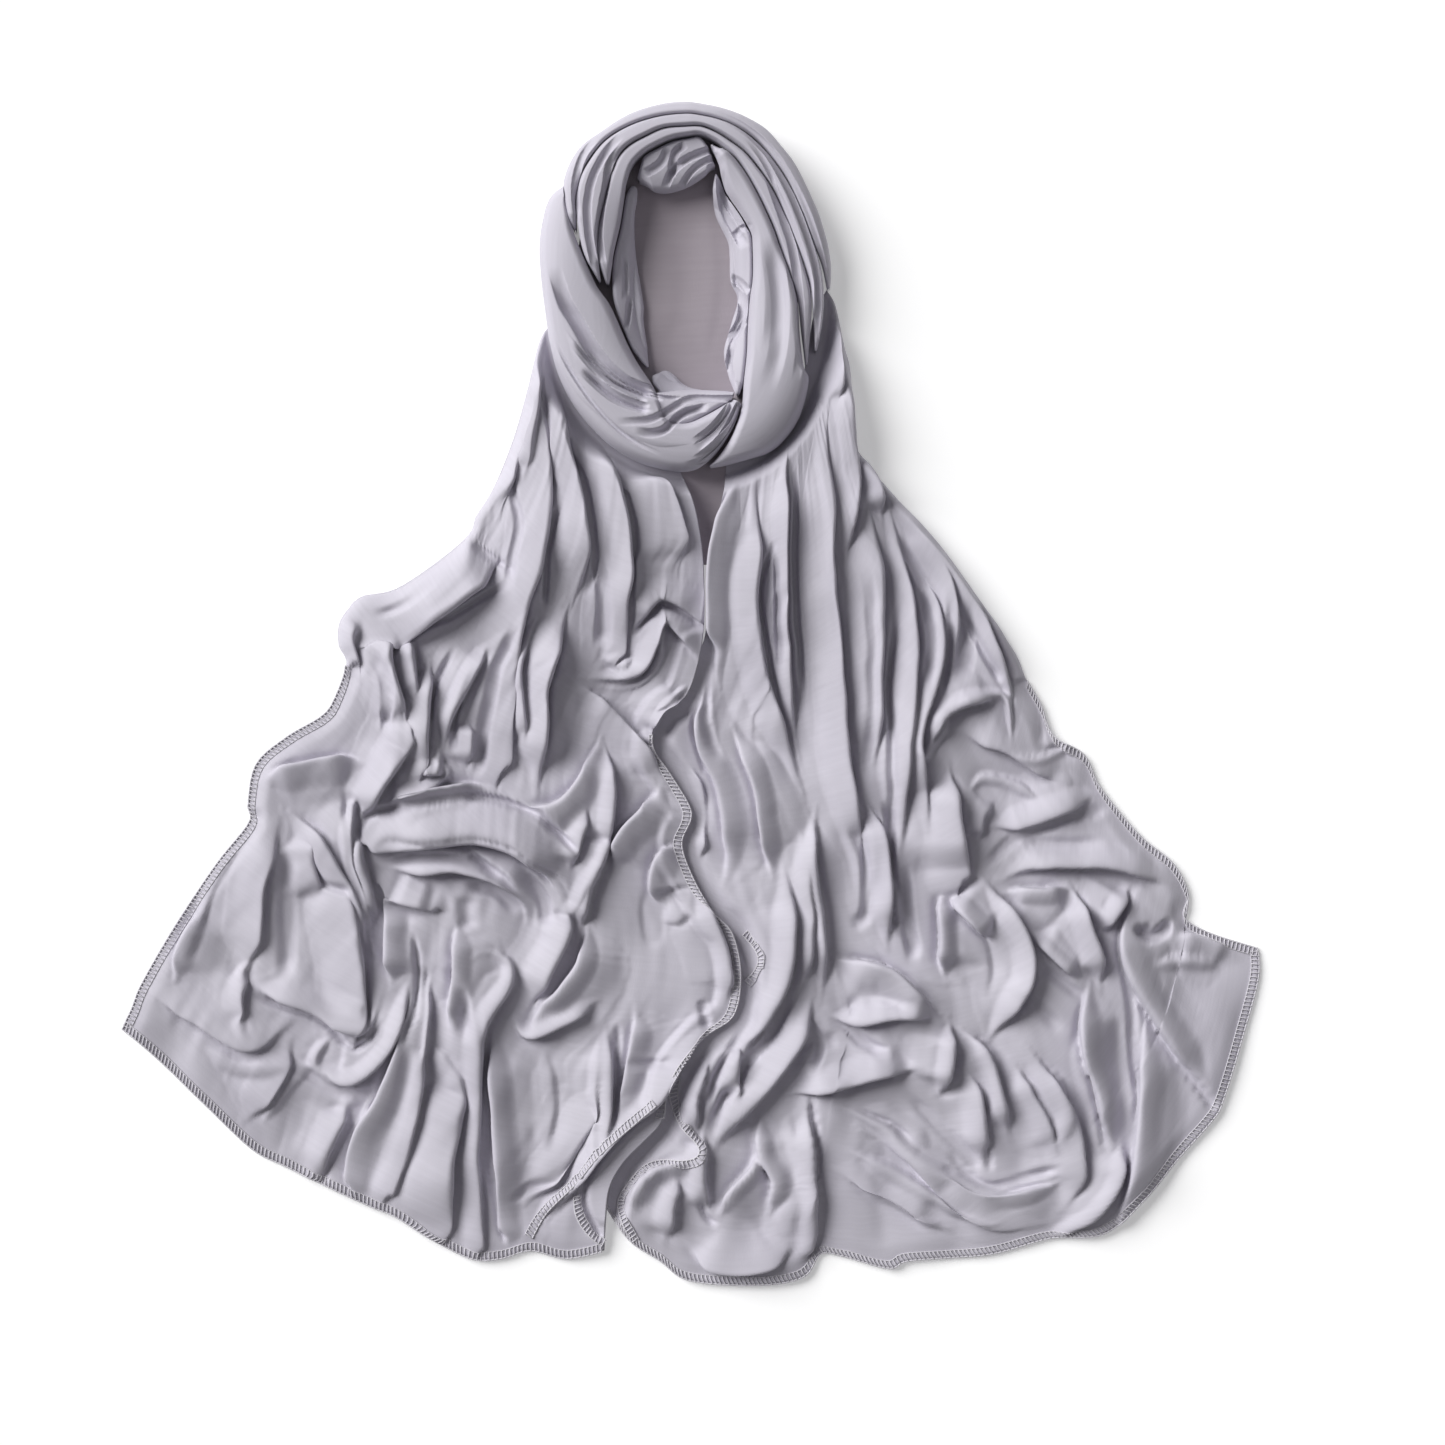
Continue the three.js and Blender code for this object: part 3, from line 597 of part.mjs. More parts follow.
// One stretch of the ring: a rounded body with a flat base, drawn in a little below its widest height.
const RING_BASE = CLOTH + REST_GAP;
const ringSwells = foldsOf(RING_SWELLS);
function ringStretch({ full, steps, rounding, outer, inner }) {
  const lines = [evenly(outer, steps), evenly(inner, steps)];
  const sides = RING_POINTS + 3;
  const places = [];
  for (let k = 0; k <= steps; k += 1) {
    const [from, to] = [lines[0][k], lines[1][k]];
    const wide = from.distanceTo(to);
    const drawn = Math.min(DRAWN_IN, wide / 5) / wide;
    const edge = Math.min(rounding, wide / 2);
    const put = (share, z) => {
      const p = from.clone().lerp(to, share);
      places.push(p.x, p.y, z);
    };
    put(drawn, RING_BASE);
    for (let s = 0; s <= RING_POINTS; s += 1) {
      const share = (1 - Math.cos((Math.PI * s) / RING_POINTS)) / 2;
      const p = from.clone().lerp(to, share);
      const off = clamp(1 - (wide * Math.min(share, 1 - share)) / edge, 0, 1);
      let top = full * arch(p.x, p.y) - rounding * RING_ROUND * (1 - Math.sqrt(1 - off * off));
      for (const swell of ringSwells) top += foldHeight(swell, p.x, p.y);
      put(share, RING_BASE + Math.max(top, RING_BELLY * RING_HIGH * full));
    }
    put(1 - drawn, RING_BASE);
  }
  const faces = [];
  for (let k = 0; k < steps; k += 1) {
    for (let s = 0; s < sides; s += 1) {
      const [a, b] = [k * sides + s, k * sides + ((s + 1) % sides)];
      faces.push(a, b, b + sides, a, b + sides, a + sides);
    }
  }
  for (let s = 1; s + 1 < sides; s += 1) {
    const end = steps * sides;
    faces.push(0, s + 1, s, end, end + s, end + s + 1);
  }
  return closedGeometry(places, faces);
}

// How much of a tail's relief is left at a place: it lies flat under the ring and where another stretch covers it.
function freedom(x, y) {
  return ease((beside(ringLine, x, y).off - UNDER_RING) / RING_CLEAR);
}

const frontEdge = lineThrough(FRONT_EDGE);
const leftOutline = lineThrough(LEFT_OUTER);
const rightOutline = lineThrough(RIGHT_OUTER);
const leftHem = lineThrough(LEFT_HEM);
const rightHem = lineThrough(RIGHT_HEM);
const leftRolls = foldsOf(LEFT_ROLLS);
const leftSwells = foldsOf(LEFT_SWELLS);
const rightRolls = foldsOf(RIGHT_ROLLS);
const rightSwells = foldsOf(RIGHT_SWELLS);

// Over the length where a fold makes the outline the cloth turns down to the surface, and along a hem it sinks.
function edgeShare(outline, foldEnds, hem, x, y) {
  const side = beside(outline, x, y);
  const folded = y > place(0, foldEnds).y;
  const t = clamp(side.off / TURN, 0, 1);
  const sunk = HEM_LOW + (1 - HEM_LOW) * ease(side.off / (2 * TURN));
  const turned = folded ? Math.sqrt(1 - (1 - t) * (1 - t)) : sunk;
  return turned * (END_LOW + (1 - END_LOW) * ease(beside(hem, x, y).off / (2 * TURN)));
}

function leftHeight(x, y) {
  const cover = beside(frontEdge, x, y);
  const lap = LAP_LIFT * ease((LAP_WIDE - cover.off) / TUCK);
  const share = edgeShare(leftOutline, FOLDED_OUTLINE.left, leftHem, x, y);
  const folds = relief(leftRolls, leftSwells, x, y) * share;
  return CLOTH + lap + Math.max(folds, 0) * freedom(x, y);
}

function rightHeight(x, y) {
  const cover = beside(frontEdge, x, y);
  const open = cover.hand > 0 || cover.along <= 0 || cover.along >= 1;
  const shown = open ? ease((cover.off - LAP_CLEAR) / LAP_RISE) : 0;
  const share = edgeShare(rightOutline, FOLDED_OUTLINE.right, rightHem, x, y);
  const folds = relief(rightRolls, rightSwells, x, y) * share;
  return CLOTH + Math.max(folds, 0) * freedom(x, y) * shown;
}

function makeTail(side) {
  if (side === "left") {
    const net = netInside(LEFT_TOP, LEFT_HEM, LEFT_OUTER, LEFT_INNER, TAIL_ACROSS, TAIL_DOWN);
    drawToCrests(net, leftRolls);
    return wallOver(net, leftHeight, (x, y) => {
      const lapped = beside(frontEdge, x, y).off < LAP_LAID;
      return lapped ? CLOTH + REST_GAP : 0;
    });
  }
  const net = netInside(RIGHT_TOP, RIGHT_HEM, RIGHT_INNER, RIGHT_OUTER, TAIL_ACROSS, TAIL_DOWN);
  drawToCrests(net, rightRolls);
  return wallOver(net, rightHeight, () => 0);
}

const BACK_ACROSS = 8;
const BACK_DOWN = 24;
const backSwells = foldsOf(BACK_SWELLS);
function makeBack() {
  const top = [BACK_LEFT[0], BACK_LEFT[1], BACK_RIGHT[0], BACK_RIGHT[1]];
  const foot = [...BACK_LEFT.slice(-2), ...BACK_RIGHT.slice(-2)];
  const net = netInside(top, foot, BACK_LEFT, BACK_RIGHT, BACK_ACROSS, BACK_DOWN, 0);
  return wallOver(net, (x, y) => CLOTH + relief([], backSwells, x, y), () => 0);
}

const jersey = { color: 0xbebbc4, roughness: 0.92, metalness: 0 };
const scarf = new THREE.Group();
function add(name, geometry) {
  const mesh = new THREE.Mesh(geometry, new THREE.MeshStandardMaterial(jersey));
  mesh.name = name;
  scarf.add(mesh);
}

add("hood_back", makeBack());
for (const [name, stretch] of Object.entries(STRETCHES)) add(name, ringStretch(stretch));
add("left_tail", makeTail("left"));
add("right_tail", makeTail("right"));

export default scarf;
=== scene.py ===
# A jersey headscarf laid out flat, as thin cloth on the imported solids. Its tables are written on the same
# drafting grid as the solids': places in squares of 7 mm from the sheet's corner, reaches and heights in mm.
import math

import bpy
import numpy as np
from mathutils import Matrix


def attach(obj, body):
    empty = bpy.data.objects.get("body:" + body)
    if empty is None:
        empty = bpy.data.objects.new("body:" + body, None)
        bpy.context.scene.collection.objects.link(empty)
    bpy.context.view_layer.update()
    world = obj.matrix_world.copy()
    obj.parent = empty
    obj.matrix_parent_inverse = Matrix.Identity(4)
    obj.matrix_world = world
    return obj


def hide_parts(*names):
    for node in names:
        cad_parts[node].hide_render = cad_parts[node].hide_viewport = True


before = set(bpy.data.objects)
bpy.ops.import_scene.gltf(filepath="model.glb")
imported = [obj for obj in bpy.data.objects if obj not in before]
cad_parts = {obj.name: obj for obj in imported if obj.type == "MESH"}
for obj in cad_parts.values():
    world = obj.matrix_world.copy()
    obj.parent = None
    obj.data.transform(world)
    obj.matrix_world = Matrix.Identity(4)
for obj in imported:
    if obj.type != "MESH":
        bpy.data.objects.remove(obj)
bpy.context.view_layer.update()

SQUARE = 7.0
DATUM = (69.1, 69.7)
MM = 0.001
RING_WIDEN = 1.0

# Outlines and crest paths are places x, y on the drafting grid.
LEFT_TOP = "55.5 32.4 56 35.4 57.4 39 59.6 42 62.2 44.1 65 45.4 67.5 45.9"
LEFT_OUTER = """
55.5 32.4 54.5 32.8 53.7 34.5 53 37.5 51.5 43 50 47 48.8 49.5 47.5 51.5 46.8 53.3 44 55.8 39.5 58.8 36 59.6
34.5 61 33.7 62.5 33.7 64.5 34.5 66.5 33.3 70 32 71.7 28.5 73.8 25.5 76.5 24.7 80.5 24.8 82.3 21.5 86.5
17.5 92.5 14 98.5 13 101 12 103
"""
LEFT_HEM = """
12 103 14.5 105 20 110.2 25 115 28.5 116.8 32 118.5 37 120.8 39.5 121.8 43 124 47 126 50 126 53 125.2
56.5 126 60.4 125.2
"""
LEFT_INNER = """
67.5 45.9 69.3 50.1 70.1 54 70.4 57.3 70.4 62.5 69.8 66.5 68.6 69.6 66.4 71.2 65.2 73.4 65.4 75.2 66.8 77.2
68.8 80.5 69 82 68.1 84.6 69.6 88.6 71.5 91.5 73.2 93.5 74 97.5 73.3 101.6 70.5 103.7 67.8 106.8 66.6 109.7
66.2 112.2 64.6 114 62.4 116.2 61 118.8 60.6 122 60.4 125.2
"""
RIGHT_TOP = "72.6 45.9 75 45.2 77.2 43.8 79 41.6 80 38.8 80.8 35.2 81.4 31.4 82.7 28.8"
RIGHT_OUTER = """
82.7 28.8 83.6 30.4 84.5 34.5 85.1 37 85.5 43 86.2 45.5 90 50 94 54.5 98 60 101.5 65 102.8 68 104.2 70.5
105.5 73.7 108.5 75.5 110 78.5 112 81.2 114.5 84 117.5 86.5 119 89.5 118.6 91.8 121 93.4 126 95
"""
RIGHT_HEM = """
60.6 121 63 124.2 66 126.2 69 128.2 76 128.6 80.4 127.8 82 125.6 84 125.7 89 127 91 126.2 99 125.6 105 124
110.5 123.5 114.5 120 117.5 116.5 121.5 112 122.5 110 124.5 103.5 126 98 126 95
"""
RIGHT_INNER = """
72.6 45.9 72.4 49 71.4 53.5 70.9 57.5 70.7 61.5 70.3 64.2 68.9 66.6 67 69.2 64.8 71.4 63.9 73.8 64.4 76.6
66 79.4 67.4 82 66.9 84.6 68.4 88.6 70.1 91.4 71.7 94 72.5 97.4 71.8 100.4 69.2 102.6 66.6 105.8 65.3 109.2
64.7 111.6 63.4 113.2 61.3 115.4 59.8 118.2 60.6 121
"""
RING_LINE = """
69 14.8 72.6 15.4 75.5 17.6 77.6 21.5 78.4 26 78.6 31 77.8 35.5 75.8 40 72.8 42.6 69.5 43.4 65.6 42.8
62.2 40.4 59.8 36.6 58.6 32 58.4 26.5 59.4 21 61.8 17.4 65.2 15.3 69 14.8
"""
BACK_LEFT = """
67 13.6 63.4 15 60.6 18 58.8 22 58.2 27 58.6 31.5 59.6 35.2 61.2 38.6 63.4 41.2 65.6 42.8 67.6 44 68.1 46.2
69.8 50 70.5 53.6 70.7 56.4
"""
BACK_RIGHT = """
69 13.4 73 14.6 76.2 17.4 78.4 21.6 79.2 26 79.2 31 78.6 35 77.4 38.8 75.8 41.4 73.8 43.4 72.4 44.4 72.1 46.2
71.8 49 71 53.2 70.85 56.4
"""

# A row of a fold table has colons between its parts: crest path, then left reach, right reach and height,
# then fades in and out unless both are 0.2, then spread unless it is 1. Of rolls the highest shows, and
# creases are added.
LEFT_ROLLS = """
53.6 37 52.4 41 50.8 45.5 50.2 49 50 52:6 9 9:.2 .3:1.2
54.4 35 53.6 40 52.5 45 52.1 50:4 6 10:.1 .3
54.6 36 54 44 53.8 50 53 56 51.4 60.5 50.4 65 49.8 70 49.6 76:9 9 13:.1 0:1.3
55.2 36 56 43 57.2 50 57.8 56 57.2 60.5:6 5 14:.1 .15:2.1
57 60 54.8 65 53.6 69 53.9 74 53.8 79.5:10 10 16:.1 .05:.7
53.6 62 51.8 66 51.7 70 52.4 74 52.9 76.2:4 4 12:.2 .1
58.4 41.5 60.4 46.5 62 52 62.4 57 62 61 61.8 65.2:6 13 12:.15 0:.85
63.5 46 66 51 67.6 58:16 16 6:.2 .3:1.3
63.6 63.4 64.5 60.8 66.6 59.3 70.4 61.5:13 4 10:.2 0
58.5 67.9 61.5 67.6 64.2 66.8 65.4 64.4 66 62.4 67 61.8 69.2 64.5 70.2 66.6:4 5 10:.2 .1
57.4 68 60.5 71 64 75 66.6 78.4:6 7 9:.2 .1
60.2 73.5 59.3 77.5 57.5 80 54.5 81.3 51 80.8:10 6 10
60.5 74.5 61 80 60.2 86:4 8 11
66.2 78.6 65.4 81.4 62.8 84.2 61 87.4:12 8 11:.2 .2:.8
65.4 73.8 66.6 71.6 69 69.8:7 4 7
38.6 63 42 60.4 46 57.6 50.4 55:17 18 17:0 .15:.95
38.4 61.5 38.2 66 39.4 70 40.8 73.6:11 10 16:.1 .1:.6
36 61 34.9 64 36.2 68.5:5 6 9:.2 .3
40.2 63 41 67 41.6 71:4 4 12
42.8 66 42.4 70 41.8 74 41.7 77:5 5 13:.2 0:1.2
41.6 77.2 44.4 77.4:5 3 11:0 .1:.8
38.4 80.2 42 79.1 44.6 78:4 5 9:.1 .1
48.8 63.5 46.6 68 44.7 72 43.9 75.4:4 8 12:.2 .1:.8
46.6 72 46.3 77:7 6 8:.3 .2
37.4 81.2 42 80 46 79.4 49.4 79:5 9 11:.1 .1
40.4 74 38.6 77 36.8 80.2 35.9 82.4:7 8 14:0 .1:.8
36.2 78.5 34.8 81.5 34.5 85 35.6 89.5 37.3 95:3 5 11:.1 .1
35.8 82 35.6 85 36.5 89 37.6 93:3 3 12:.1 .2
37.4 84.2 42 83.8 47 83.2 51.6 84.2 54.8 86.8 56 90:10 13 16:0 .1:.9
37.6 86.6 42 86.9 46 86.6 50 87.5 52.3 89.6 52.6 92.5:6 8 12:.1 .2:.9
38.8 89 41 90 43 90.6:7 9 11:0 0:.6
39 90 39.2 94 38.8 98.5:9 6 11:0 .2
45.4 92 45.8 96 45.6 100 45.6 104:9 4 10:.1 .2
46.5 96.4 48.5 95.4 50.6 96.4 50.9 98.2 49.5 100.5 48.3 103 47.6 107 \
47.3 113 47.3 119 47.6 125:4 4 11:.05 0:1.5
27.5 82.5 25.6 88 24.9 93 24.2 97.5:10 8 7
29.8 83 30.6 87 31.8 90.6:7 7 8:.2 .1
28.5 81.2 31 84 33.5 87.6 35 91 36.2 95.5:7 6 11:.2 .1
25.8 78 31 76.9 36.4 76.4:6 13 9:.1 .2
33 84 33.7 91 34.5 97 34.9 102.4:12 12 12:.4 0:.9
24.5 98.4 28 99.8 32 101.2 34.4 103 36.4 102.2 37.9 99.5:13 3.5 10:.1 .1
19.9 90.5 18.6 94.5 17.4 98.5:8 4 5:.3 .3
14.6 99.6 19 101.3 23 103.8 25.5 104.2 29 102.4:9 7 6
24.4 96.6 23.4 99.6 23.8 103.2:5 9 5.5:.2 .1
30.5 105.9 33.6 107.8 36.6 106.7 39 104 40.2 100.4 40.9 97.6:8 4 10:.1 .1
28.8 104.5 27.3 108 24.6 112:8 7 5:.2 .3
34.4 110.2 33 114 31.4 118:4 15 9:.2 0
41.3 98.5 40.6 104 38.4 109.2 36.2 113.2 35.2 118:11 3.5 10:.1 0:1.4
42.6 96 42.6 101 42.1 106.5 41.5 111 40.4 115 38.8 119:4 5 10:.2 0:1.4
46.4 106.5 44.6 113 43.6 118 43 123:9 9 12:.1 0:1.7
49.3 102.5 49.5 109 50.1 116 50.5 123:12 4 11:.1 0
60 108.5 57.4 113 54.6 117.2 52.4 121:9 14 8
60.4 102.5 60.8 107.5 60.4 112.5 58.8 117:4 8 10:.1 .2
56.8 90 56.3 94 54.2 98 52.9 101:6 8 13:.1 .1
58.7 92.5 58.8 96 56.8 99.2 54 101.6 52.4 102.8:8 5 12:.1 .1
51.4 101.8 53 103.2 56.5 101.8 60 100:8 4 10
61.3 82 60.2 86 58.1 89 56.8 92.5:3 4 11:.2 .1
60.4 86.2 58.8 89 58.1 93:4 3 11:.2 .1
58.8 80.6 57.3 84 56.7 87:5 5 9
68 84.2 66 86.2 65.3 89.2 66.4 91:13 3.5 8:.1 .3
69.4 88.6 72.2 94 73 98 72.4 101.2:3 9 7:.2 .1
72.2 101.4 69.4 104.3 66.9 107.4 65.2 110 62 112.6 58.8 116 56.6 119.4 54.4 122.8:5 9 10:.1 .1
63.2 100.5 63.6 104 63 109 61.8 112:10 4 8:.1 .2
"""
LEFT_CREASES = """
60 68 57.6 73 56.2 78:14 14 -3:.3 .3
46.5 89 46.6 93.5:10 10 -3:.3 .3
64.6 88.4 65 91 65.6 95.2:9 8 -4:.5 .5
65.8 92.4 67.4 91.8 69.4 91.2:7 7 7:.5 .5
64 111.7 60 115.3 57.5 118.5 54.5 121.5 53 124:2 7 7:.2 .1
58.3 118.5 58.3 120.5 60 124:2 3 -3:.2 .1
44.4 96.2 46.4 100 47 104.6:5 6 -3.4:.3 .3
51.4 86.4 54.2 89.6 54.6 93.4:4 6 -3.6:.3 .3
46 88.6 49.6 88.8 52 91.4:5 6 -4:.3 .3
28.4 106.4 33 109 38 109.4:5 6 -3:.3 .3
26 112.6 28.6 108.6 31.6 106.4:6 6 5:.3 .3
20 104.6 24 106.6 28.4 106.4:5 8 6:.3 .3
41 83.6 46 84.6 50.4 87.2:1.4 3 -3:.3 .2
36.4 64.4 38.4 69 38.6 74:3 4 -3.4:.3 .3
45.4 64.4 43.4 69 42.8 73:2 3.4 -3:.3 .2
47.6 66 45.6 71 45 76:2 3.4 -3.4:.3 .2
50.8 62 48.9 67 48 73 47.6 78.4:2 4 -4
54.5 33 54.5 40 54.8 47 55.6 50:2 3 -3
52 42 51.2 47 51.8 52 51 56 50.5 59:2 3 -3
55.6 50.5 54.6 56.5 54.6 61:2 2.6 -4
55.6 40 57 45 58.5 48 59.2 52 59.5 57 58.3 60:2 4 -3
59.8 44 61.5 48 62.8 52 63.2 56 63.2 64:2 4 -3
59.6 55 60.4 60 60.2 65:5 5 -4:.3 .2
60.2 65.6 62 66.4 63.6 65.8:3 3 6.9:.3 .3
51 57.8 46 61 42 62.8 39.6 65:3 2 -3:.3 .2
46.6 53.6 49 55.4 51.4 57.2:2 3 -2.4:.3 .3
44 56.4 40 59.4 36.4 61.2:2.4 2.4 -2:.3 .3
63.2 63.8 65.5 60.8 66.6 60.3 70 62.2:2 3 -3:.2 .1
60 68.9 64 68.4 66 66 66.2 63.4 67.2 61.6 69.4 63.6:2.4 3 5.5
65.5 71.2 67.4 69.6 69 68.3:3 2 5.5:.3 .2
67 73 68.2 74 69.4 75.2:4 4 -3:.3 .3
63.6 73.6 65.4 74.6:3 4 5.5:.4 .4
42.5 75.7 44.7 77.6 42 79 38.5 80.3:2.5 2.5 6.9
34.3 79 34.6 86 36.4 92 37.8 96:1.8 2 -3
35.4 80 35.8 86 37 91 37.9 95:1.8 2 -3
41 93 41.7 99 40.5 106:1.8 2.5 -3
42.5 96 42.4 100 41.8 107:1.8 2.5 -3
70.2 100 70.8 103.4:3 3 -4:.3 .3
62.5 106 65 106.4 68 105.7:4 6 -1.8:.3 .3
24.5 99.3 28 100.7 32 102 34 104.2 36 104.2 38.5 101.5:2 3 -3
37 108 34.6 113 32 118:3 8 -4:.2 0
43.4 104.6 46.4 109.4:6 6 5.5:.3 .3
24.8 83 21.5 87.5 19.8 92 18.4 97.5:4 4 5.5:.3 .2
28.2 84 28.6 91 28.3 98.4:8 8 -3.4
25.4 95.6 23.6 98 23.8 101.4 25 104:2.6 3 5.5
33 103.4 31.2 106.6 34.6 109.4:2.6 3 6.9
34.2 93.6 36 98.4 36.2 102.8:3 4 -2.6:.3 .2
30 85.2 32.2 88.4 34.8 89.2:2.4 3 -2.6:.3 .2
48.2 100 48.6 115 49.7 121 50.5 124:1.8 3 -3:.2 0
60 103 59 115 58.5 118:3 3 5.5
61.4 102 61.8 108 61.2 113:2 2.6 -3
60 111 56 116 51 121:2 5 -2.6:.3 .2
54.2 104.8 55 110 54 116:5 7 4.6:.3 .3
36.6 84.6 38.6 82.8 43 82.4 48 82 52.4 83.2 55.6 86 57 90:9 9 13
35.2 85 36.4 81.8 41 80.8 47 80 52 80.9 55.8 83.2 58 87:3 2 -5
38 86.2 42 85.6 47 85.6 50.6 87.2 53.2 90.4:2 4 -5
"""
RIGHT_ROLLS = """
73.9 47 72.7 52 71.9 57 71.7 63 71.9 69:9 6 11:.1 .2
75.6 47.5 75 54 74.4 60 75.2 66 76.7 71 78.8 75.6 80.4 79.4:7 11 13:.1 .1
78.9 43.5 78.3 50 78.2 57 78.3 64 79 71 80.2 76:4 4 14:.1 .2
82.8 39 82.4 46 82.4 53 82.7 60 83.3 67 84 74 84.8 80 85.8 86 86.2 91:6 16 13:.1 .2
86.6 50 86.9 57 87 64 87.3 71 87.6 78.5:7 20 14:.1 .2
84.4 35.5 84.9 42 85.2 48 84.6 53 84.6 58:6 7 10:.1 .3
82.9 31 83.4 36 83.4 42:6 6 8:.2 .3
86 45 87.5 48.5 88 52:4 5 11:.1 .2
88.4 49.6 89.7 56 90.6 62 91 68 90.6 75 90 81 89.9 87.5:5 6 14:.1 .1:1.2
91.2 55.5 93 60 93.5 64 93.2 68 91.9 72.5 91.9 76 92.6 80 93 84:5 6 12:.2 .1:1.2
89.4 50.6 92 54 94.4 57.6 95.3 62 95.2 66.8:5 4 12:.1 .2
88.2 49 91.3 53 94.4 56.4 97.2 60.4 99.4 65 100.6 68.5 101 71.8:4 4 13:.1 .1
87.6 47.6 91.3 52 95 56 98.3 60.4 101.2 65.2 102.2 68.5:5 4 9:.1 .2
100.4 69.7 96.6 70.3 94.4 71.6 93.4 73.8 92.9 75.6:4 4 12:.05 .1
103.5 74.3 106 74.2 107.6 76:4 4 6:.2 .3
98.8 82.6 103 81.8 107 80.4 110 79.6:11 5 10
97.8 84 98.2 81.4 99.8 79.8:4 4 7:.1 .3
96 73.2 101 74.6 107 78.6:8 10 6:.2 .3
100.4 88.4 103.4 86.6 107.5 86.2 112.5 86.6 117.4 88.4:7 5 12:.1 .1
95.3 76.8 95.4 82 95.8 87.5:5 4 15:.05 0:2.6
94.4 89 94.7 93 94.6 98:8 4 13:.05 .1
95 89.6 97.2 91.8 99.6 94.3:9 3.5 16:.1 .2
98.6 88 101 91.8 102.4 95 102.4 98 100.5 101.2 98.8 104.2:5 10 14:.1 .1
81.6 80.4 80.9 85 81.4 90 82 95 82.2 100:3.5 4 12:.1 .1
86.4 79.8 87.8 84 88.8 88.5 88.8 92.5 88.6 95:5 5 12:.1 .1
83 95.6 86 96.8 88.8 97.8 91.6 100 94.6 102.2:5 14 14:.1 .1
83 101.2 86 102 90 101.4 94.6 101.4:12 3.5 12:.1 .1
79 109.8 84 108.5 88.5 107.3 92.4 106.9:13 3.5 12:.1 .1:1.3
95.2 102 94.8 106 94 109.6:4 7 13:.1 .1
96.2 102.6 98.2 104.9 99.4 107.6 100.2 111 101.2 114.2:4 4 11:.1 .2
96.4 106.5 97.6 109 98.3 113 98.7 117:3.5 12 10:.1 .05
109.2 97.8 108.5 101.4 108.8 105.5 110.2 110.5 111.7 115.5:12 4 13:.05 .1
107.2 88.8 108.3 92 109.8 95.4 110.2 98.6:4 9 13:.1 .1
103 93.4 106 95.6 108.6 97.8:5 3.5 12:.1 .1
112.8 88.8 111.5 91 110.2 93.2:4 4 11:.1 .2
100.8 89.4 104.5 89.6 107.2 88.9:3.5 7 10:.1 .1
113.6 88.8 112.6 92 113 96 115 101 118.6 106.3 121.2 110:16 3.5 13:.05 .1:.9
117.5 93.6 120.5 94.2 124 95.6:4 12 6
114.6 101.8 114.4 108 114.2 114 113.5 119 112.4 122.6:14 3.5 10:.1 0
112.4 113.6 111.8 118 109.2 121.4 106.4 123.3:4 6 9:.2 0
102.8 104.5 104.8 109 107.4 113.5 107.9 117.5 106.2 121.6:8 7 9:.2 .1
101.4 106 102.6 109.4 104.6 113 106.2 116:5 5 8
92.6 116 96.4 119.3 100 120.4 103.6 119.6 106.6 117.8:4 6 8:.2 .1
86 113.4 91 115.6 95.5 119.6 100.5 122.6 104.5 122.8:8 8 5
83.6 117.5 89 119.5 95 123.2:8 8 4:.2 .3
78.5 86 79 92 78.6 97.5 77 101.5 74.8 104.6 73.8 108:4 12 13:.2 .1:.9
80 83 80.5 89 80.7 95 79.6 99.5:3.5 4 11
81.4 98.8 80.3 103 77.8 107 75 110.2 72.6 112.6 71 115.5:6 6 13:.1 .1
70.3 113 70 118 70.8 121.8:4 5 10:.1 .1
76.2 114 75.6 117 73.5 119.5 71.6 122:6 4 10:.1 .1
75.8 111.6 76 115.6 77.6 118.5 76.8 122:9 3 11:.1 .2
80.9 110.6 80.7 115 81 120 80.9 125:3.5 10 11:.1 0
73.9 104 73.4 108 73.6 111:4 5 10:.2 .1
71 104.6 69.9 107.5 69.1 110.5 69.8 113.8:4 4 9:.2 .1
70.2 115.2 68 116.6 65.2 117.2 63.4 119.5 63 122:7 3 7:.1 .2
67.8 117.5 66.8 120.5 66.5 124:5 5 8
68.5 124.5 72 126.2 76.5 126.2 79.8 124.2:9 10 7
68.4 76.5 70 80 70 84 69.6 87:4 6 8
70.6 66.8 70.3 71 70.6 75 72.6 79 73.4 85 72.2 89:9 5 9:.1 .3:1.2
73 72.5 75.6 77.5 76.8 83 77.4 88:8 5 10
"""
